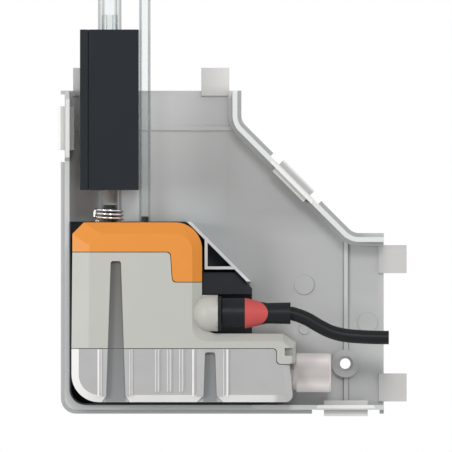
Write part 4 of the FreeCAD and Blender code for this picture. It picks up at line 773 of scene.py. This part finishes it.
# Rib across the side arm, below and above the screw boss: painted highlight on its crown and painted shadow
# lines at its feet
CROSS_RIB_TOP = 3.2
CROSS_RIB_SKIN = 0.05
CROSS_RIB_RUNS = (("low", -38.2, -25.6), ("high", -12.4, 38.2))
CROSS_RIB_LINES = (
    ("crown", 91.0, 92.4, CROSS_RIB_TOP, RIB_PAINTED_HIGHLIGHT),
    ("left_foot", 90.25, 90.7, FLOOR_DEPTH, RIB_PAINTED_SHADOW),
    ("right_foot", 92.8, 93.2, FLOOR_DEPTH, RIB_PAINTED_SHADOW),
)
for run, low, high in CROSS_RIB_RUNS:
    for line, left, right, depth, material in CROSS_RIB_LINES:
        name = "rib_%s_%s" % (run, line)
        outline = block(left, right, low, high)
        plate(name, outline, depth - SUNK, depth + CROSS_RIB_SKIN, BASE, "base_grey", material)

# Flare of the inlet sleeve towards the reservoir, and the root of the lead in the plug
SLEEVE_DEPTH = 25.0
SLEEVE_Z = -23.1
SLEEVE_FLARE = [(66.7, 7.7), (67.5, 8.0), (68.6, 9.0), (68.6, 7.9), (67.2, 7.2), (66.7, 7.1)]
LEAD_ROOT_Z = 4.75
LEAD_ROOT = [(64.9, 3.15), (66.2, 3.15), (66.2, 0.6), (64.9, 0.6)]
turned("sleeve_flare", SLEEVE_FLARE, SLEEVE_DEPTH, SLEEVE_Z, body_of("inlet_sleeve"), "sleeve_rubber")
turned("lead_root", LEAD_ROOT, CABLE_DEPTH, LEAD_ROOT_Z, PLUG, "plug_black")

# Snap tooth behind the small square window in the cover's foot
SNAP_TOOTH = block(62.7, 66.5, -15.1, -11.3)
SNAP_BACK = 39.4
SNAP_FRONT = 41.6
plate("snap_tooth", SNAP_TOOTH, SNAP_BACK, SNAP_FRONT, UNIT, "cover_grey", SNAP_GREY)

# Bright rim strips of the wall in front of the three latches: the middle and the run of each
WALL_TOP = 20.0
STRIP_WIDTH = 1.7
STRIP_HALF = 13.7
STRIP_SKIN = 0.3
STRIP_CORNER = 0.2
STRIP_LINE = -39.15
STRIP_INSET = 3.35
SLANT = math.sqrt(0.5)
STRIP_DIAGONAL = 68.8 - STRIP_INSET * SLANT
STRIPS = {
    "left": ((STRIP_LINE, 91.8), (0, 1)),
    "bottom": ((91.6, STRIP_LINE), (1, 0)),
    "diagonal": ((STRIP_DIAGONAL, STRIP_DIAGONAL), (SLANT, -SLANT)),
}


def rim_strip(side):
    """Slim strip with chamfered ends, laid along the wall's front edge at a latch."""
    (x, z), (run_x, run_z) = STRIPS[side]
    half = STRIP_WIDTH / 2
    shape = [
        (-STRIP_HALF, -half),
        (STRIP_HALF, -half),
        (STRIP_HALF, half * STRIP_CORNER),
        (STRIP_HALF - half, half),
        (half - STRIP_HALF, half),
        (-STRIP_HALF, half * STRIP_CORNER),
    ]
    outline = [
        (x + along * run_x - across * run_z, z + along * run_z + across * run_x)
        for along, across in shape
    ]
    front = WALL_TOP + STRIP_SKIN
    plate("rim_strip_" + side, outline, WALL_TOP - SUNK, front, BASE, "latch_white", RIM_WHITE)


for side in STRIPS:
    rim_strip(side)

# Stop of the left latch at the lower end of its window
LATCH_STOP = block(-40.6, -38.4, 76.3, 77.9)
LATCH_STOP_SKIN = 0.1
LATCH_STOP_FRONT = WALL_TOP + LATCH_STOP_SKIN
plate("latch_stop_left", LATCH_STOP, WALL_TOP - SUNK, LATCH_STOP_FRONT, BASE, "base_grey", SNAP_GREY)

# Studio: paper and world are white to the seen rays, and dimmer to all the rest
AMBIENT = 0.62
PAPER = "E8E8E8"
PAPER_Z = -78.4
PAPER_REACH = 12000.0
WHITE = (1, 1, 1, 1)
SEEN_RAYS = ("Is Camera Ray", "Is Glossy Ray", "Is Transmission Ray")


def show_white(tree, output, hidden, white):
    """Ends a tree with the white shader for the seen rays and the hidden one for all the rest."""
    path = add(tree, "ShaderNodeLightPath").outputs
    share = path[SEEN_RAYS[0]]
    for ray in SEEN_RAYS[1:]:
        share = combined(tree, "ADD", share, path[ray], clamp=True)
    both = add(tree, "ShaderNodeMixShader", Fac=share, i1=hidden.outputs[0], i2=white.outputs[0])
    add(tree, output, Surface=both.outputs[0])


world = bpy.data.worlds.new("studio")
bpy.context.scene.world = world
world.use_nodes = True
world_tree = world.node_tree
world_tree.nodes.clear()
dim = add(world_tree, "ShaderNodeBackground", Color=WHITE, Strength=AMBIENT)
bright = add(world_tree, "ShaderNodeBackground", Color=WHITE, Strength=1.0)
show_white(world_tree, "ShaderNodeOutputWorld", dim, bright)

paper_material = bpy.data.materials.new("studio_paper")
paper_material.use_nodes = True
paper_tree = paper_material.node_tree
paper_tree.nodes.clear()
diffuse = add(paper_tree, "ShaderNodeBsdfDiffuse", Color=linear(PAPER))
glow = add(paper_tree, "ShaderNodeEmission", Color=WHITE, Strength=1.0)
show_white(paper_tree, "ShaderNodeOutputMaterial", diffuse, glow)

floor_data = bpy.data.meshes.new("studio_floor")
floor_corners = block(-PAPER_REACH, PAPER_REACH, -PAPER_REACH, PAPER_REACH)
floor_data.from_pydata([(x * MM, y * MM, PAPER_Z * MM) for x, y in floor_corners], [], [(0, 1, 2, 3)])
floor_data.materials.append(paper_material)
floor = object_from("studio_floor", floor_data)

# Lights: where each stands in metres, its size in metres and its power in watts
LIGHTS = (
    ("key", (-0.9, -1.0, 0.1), 0.4, 6.4),
    ("fill", (0.15, -1.4, 0.55), 0.3, 6.2),
)
aim = at(VIEW_CENTRE_X, VIEW_DEPTH, VIEW_CENTRE_Z)
for light_name, spot, size, power in LIGHTS:
    light_data = bpy.data.lights.new(light_name, "AREA")
    light_data.shape = "DISK"
    light_data.size = size
    light_data.energy = power
    light = object_from(light_name, light_data)
    light.location = spot
    light.rotation_euler = (aim - Vector(spot)).to_track_quat("-Z", "Y").to_euler()
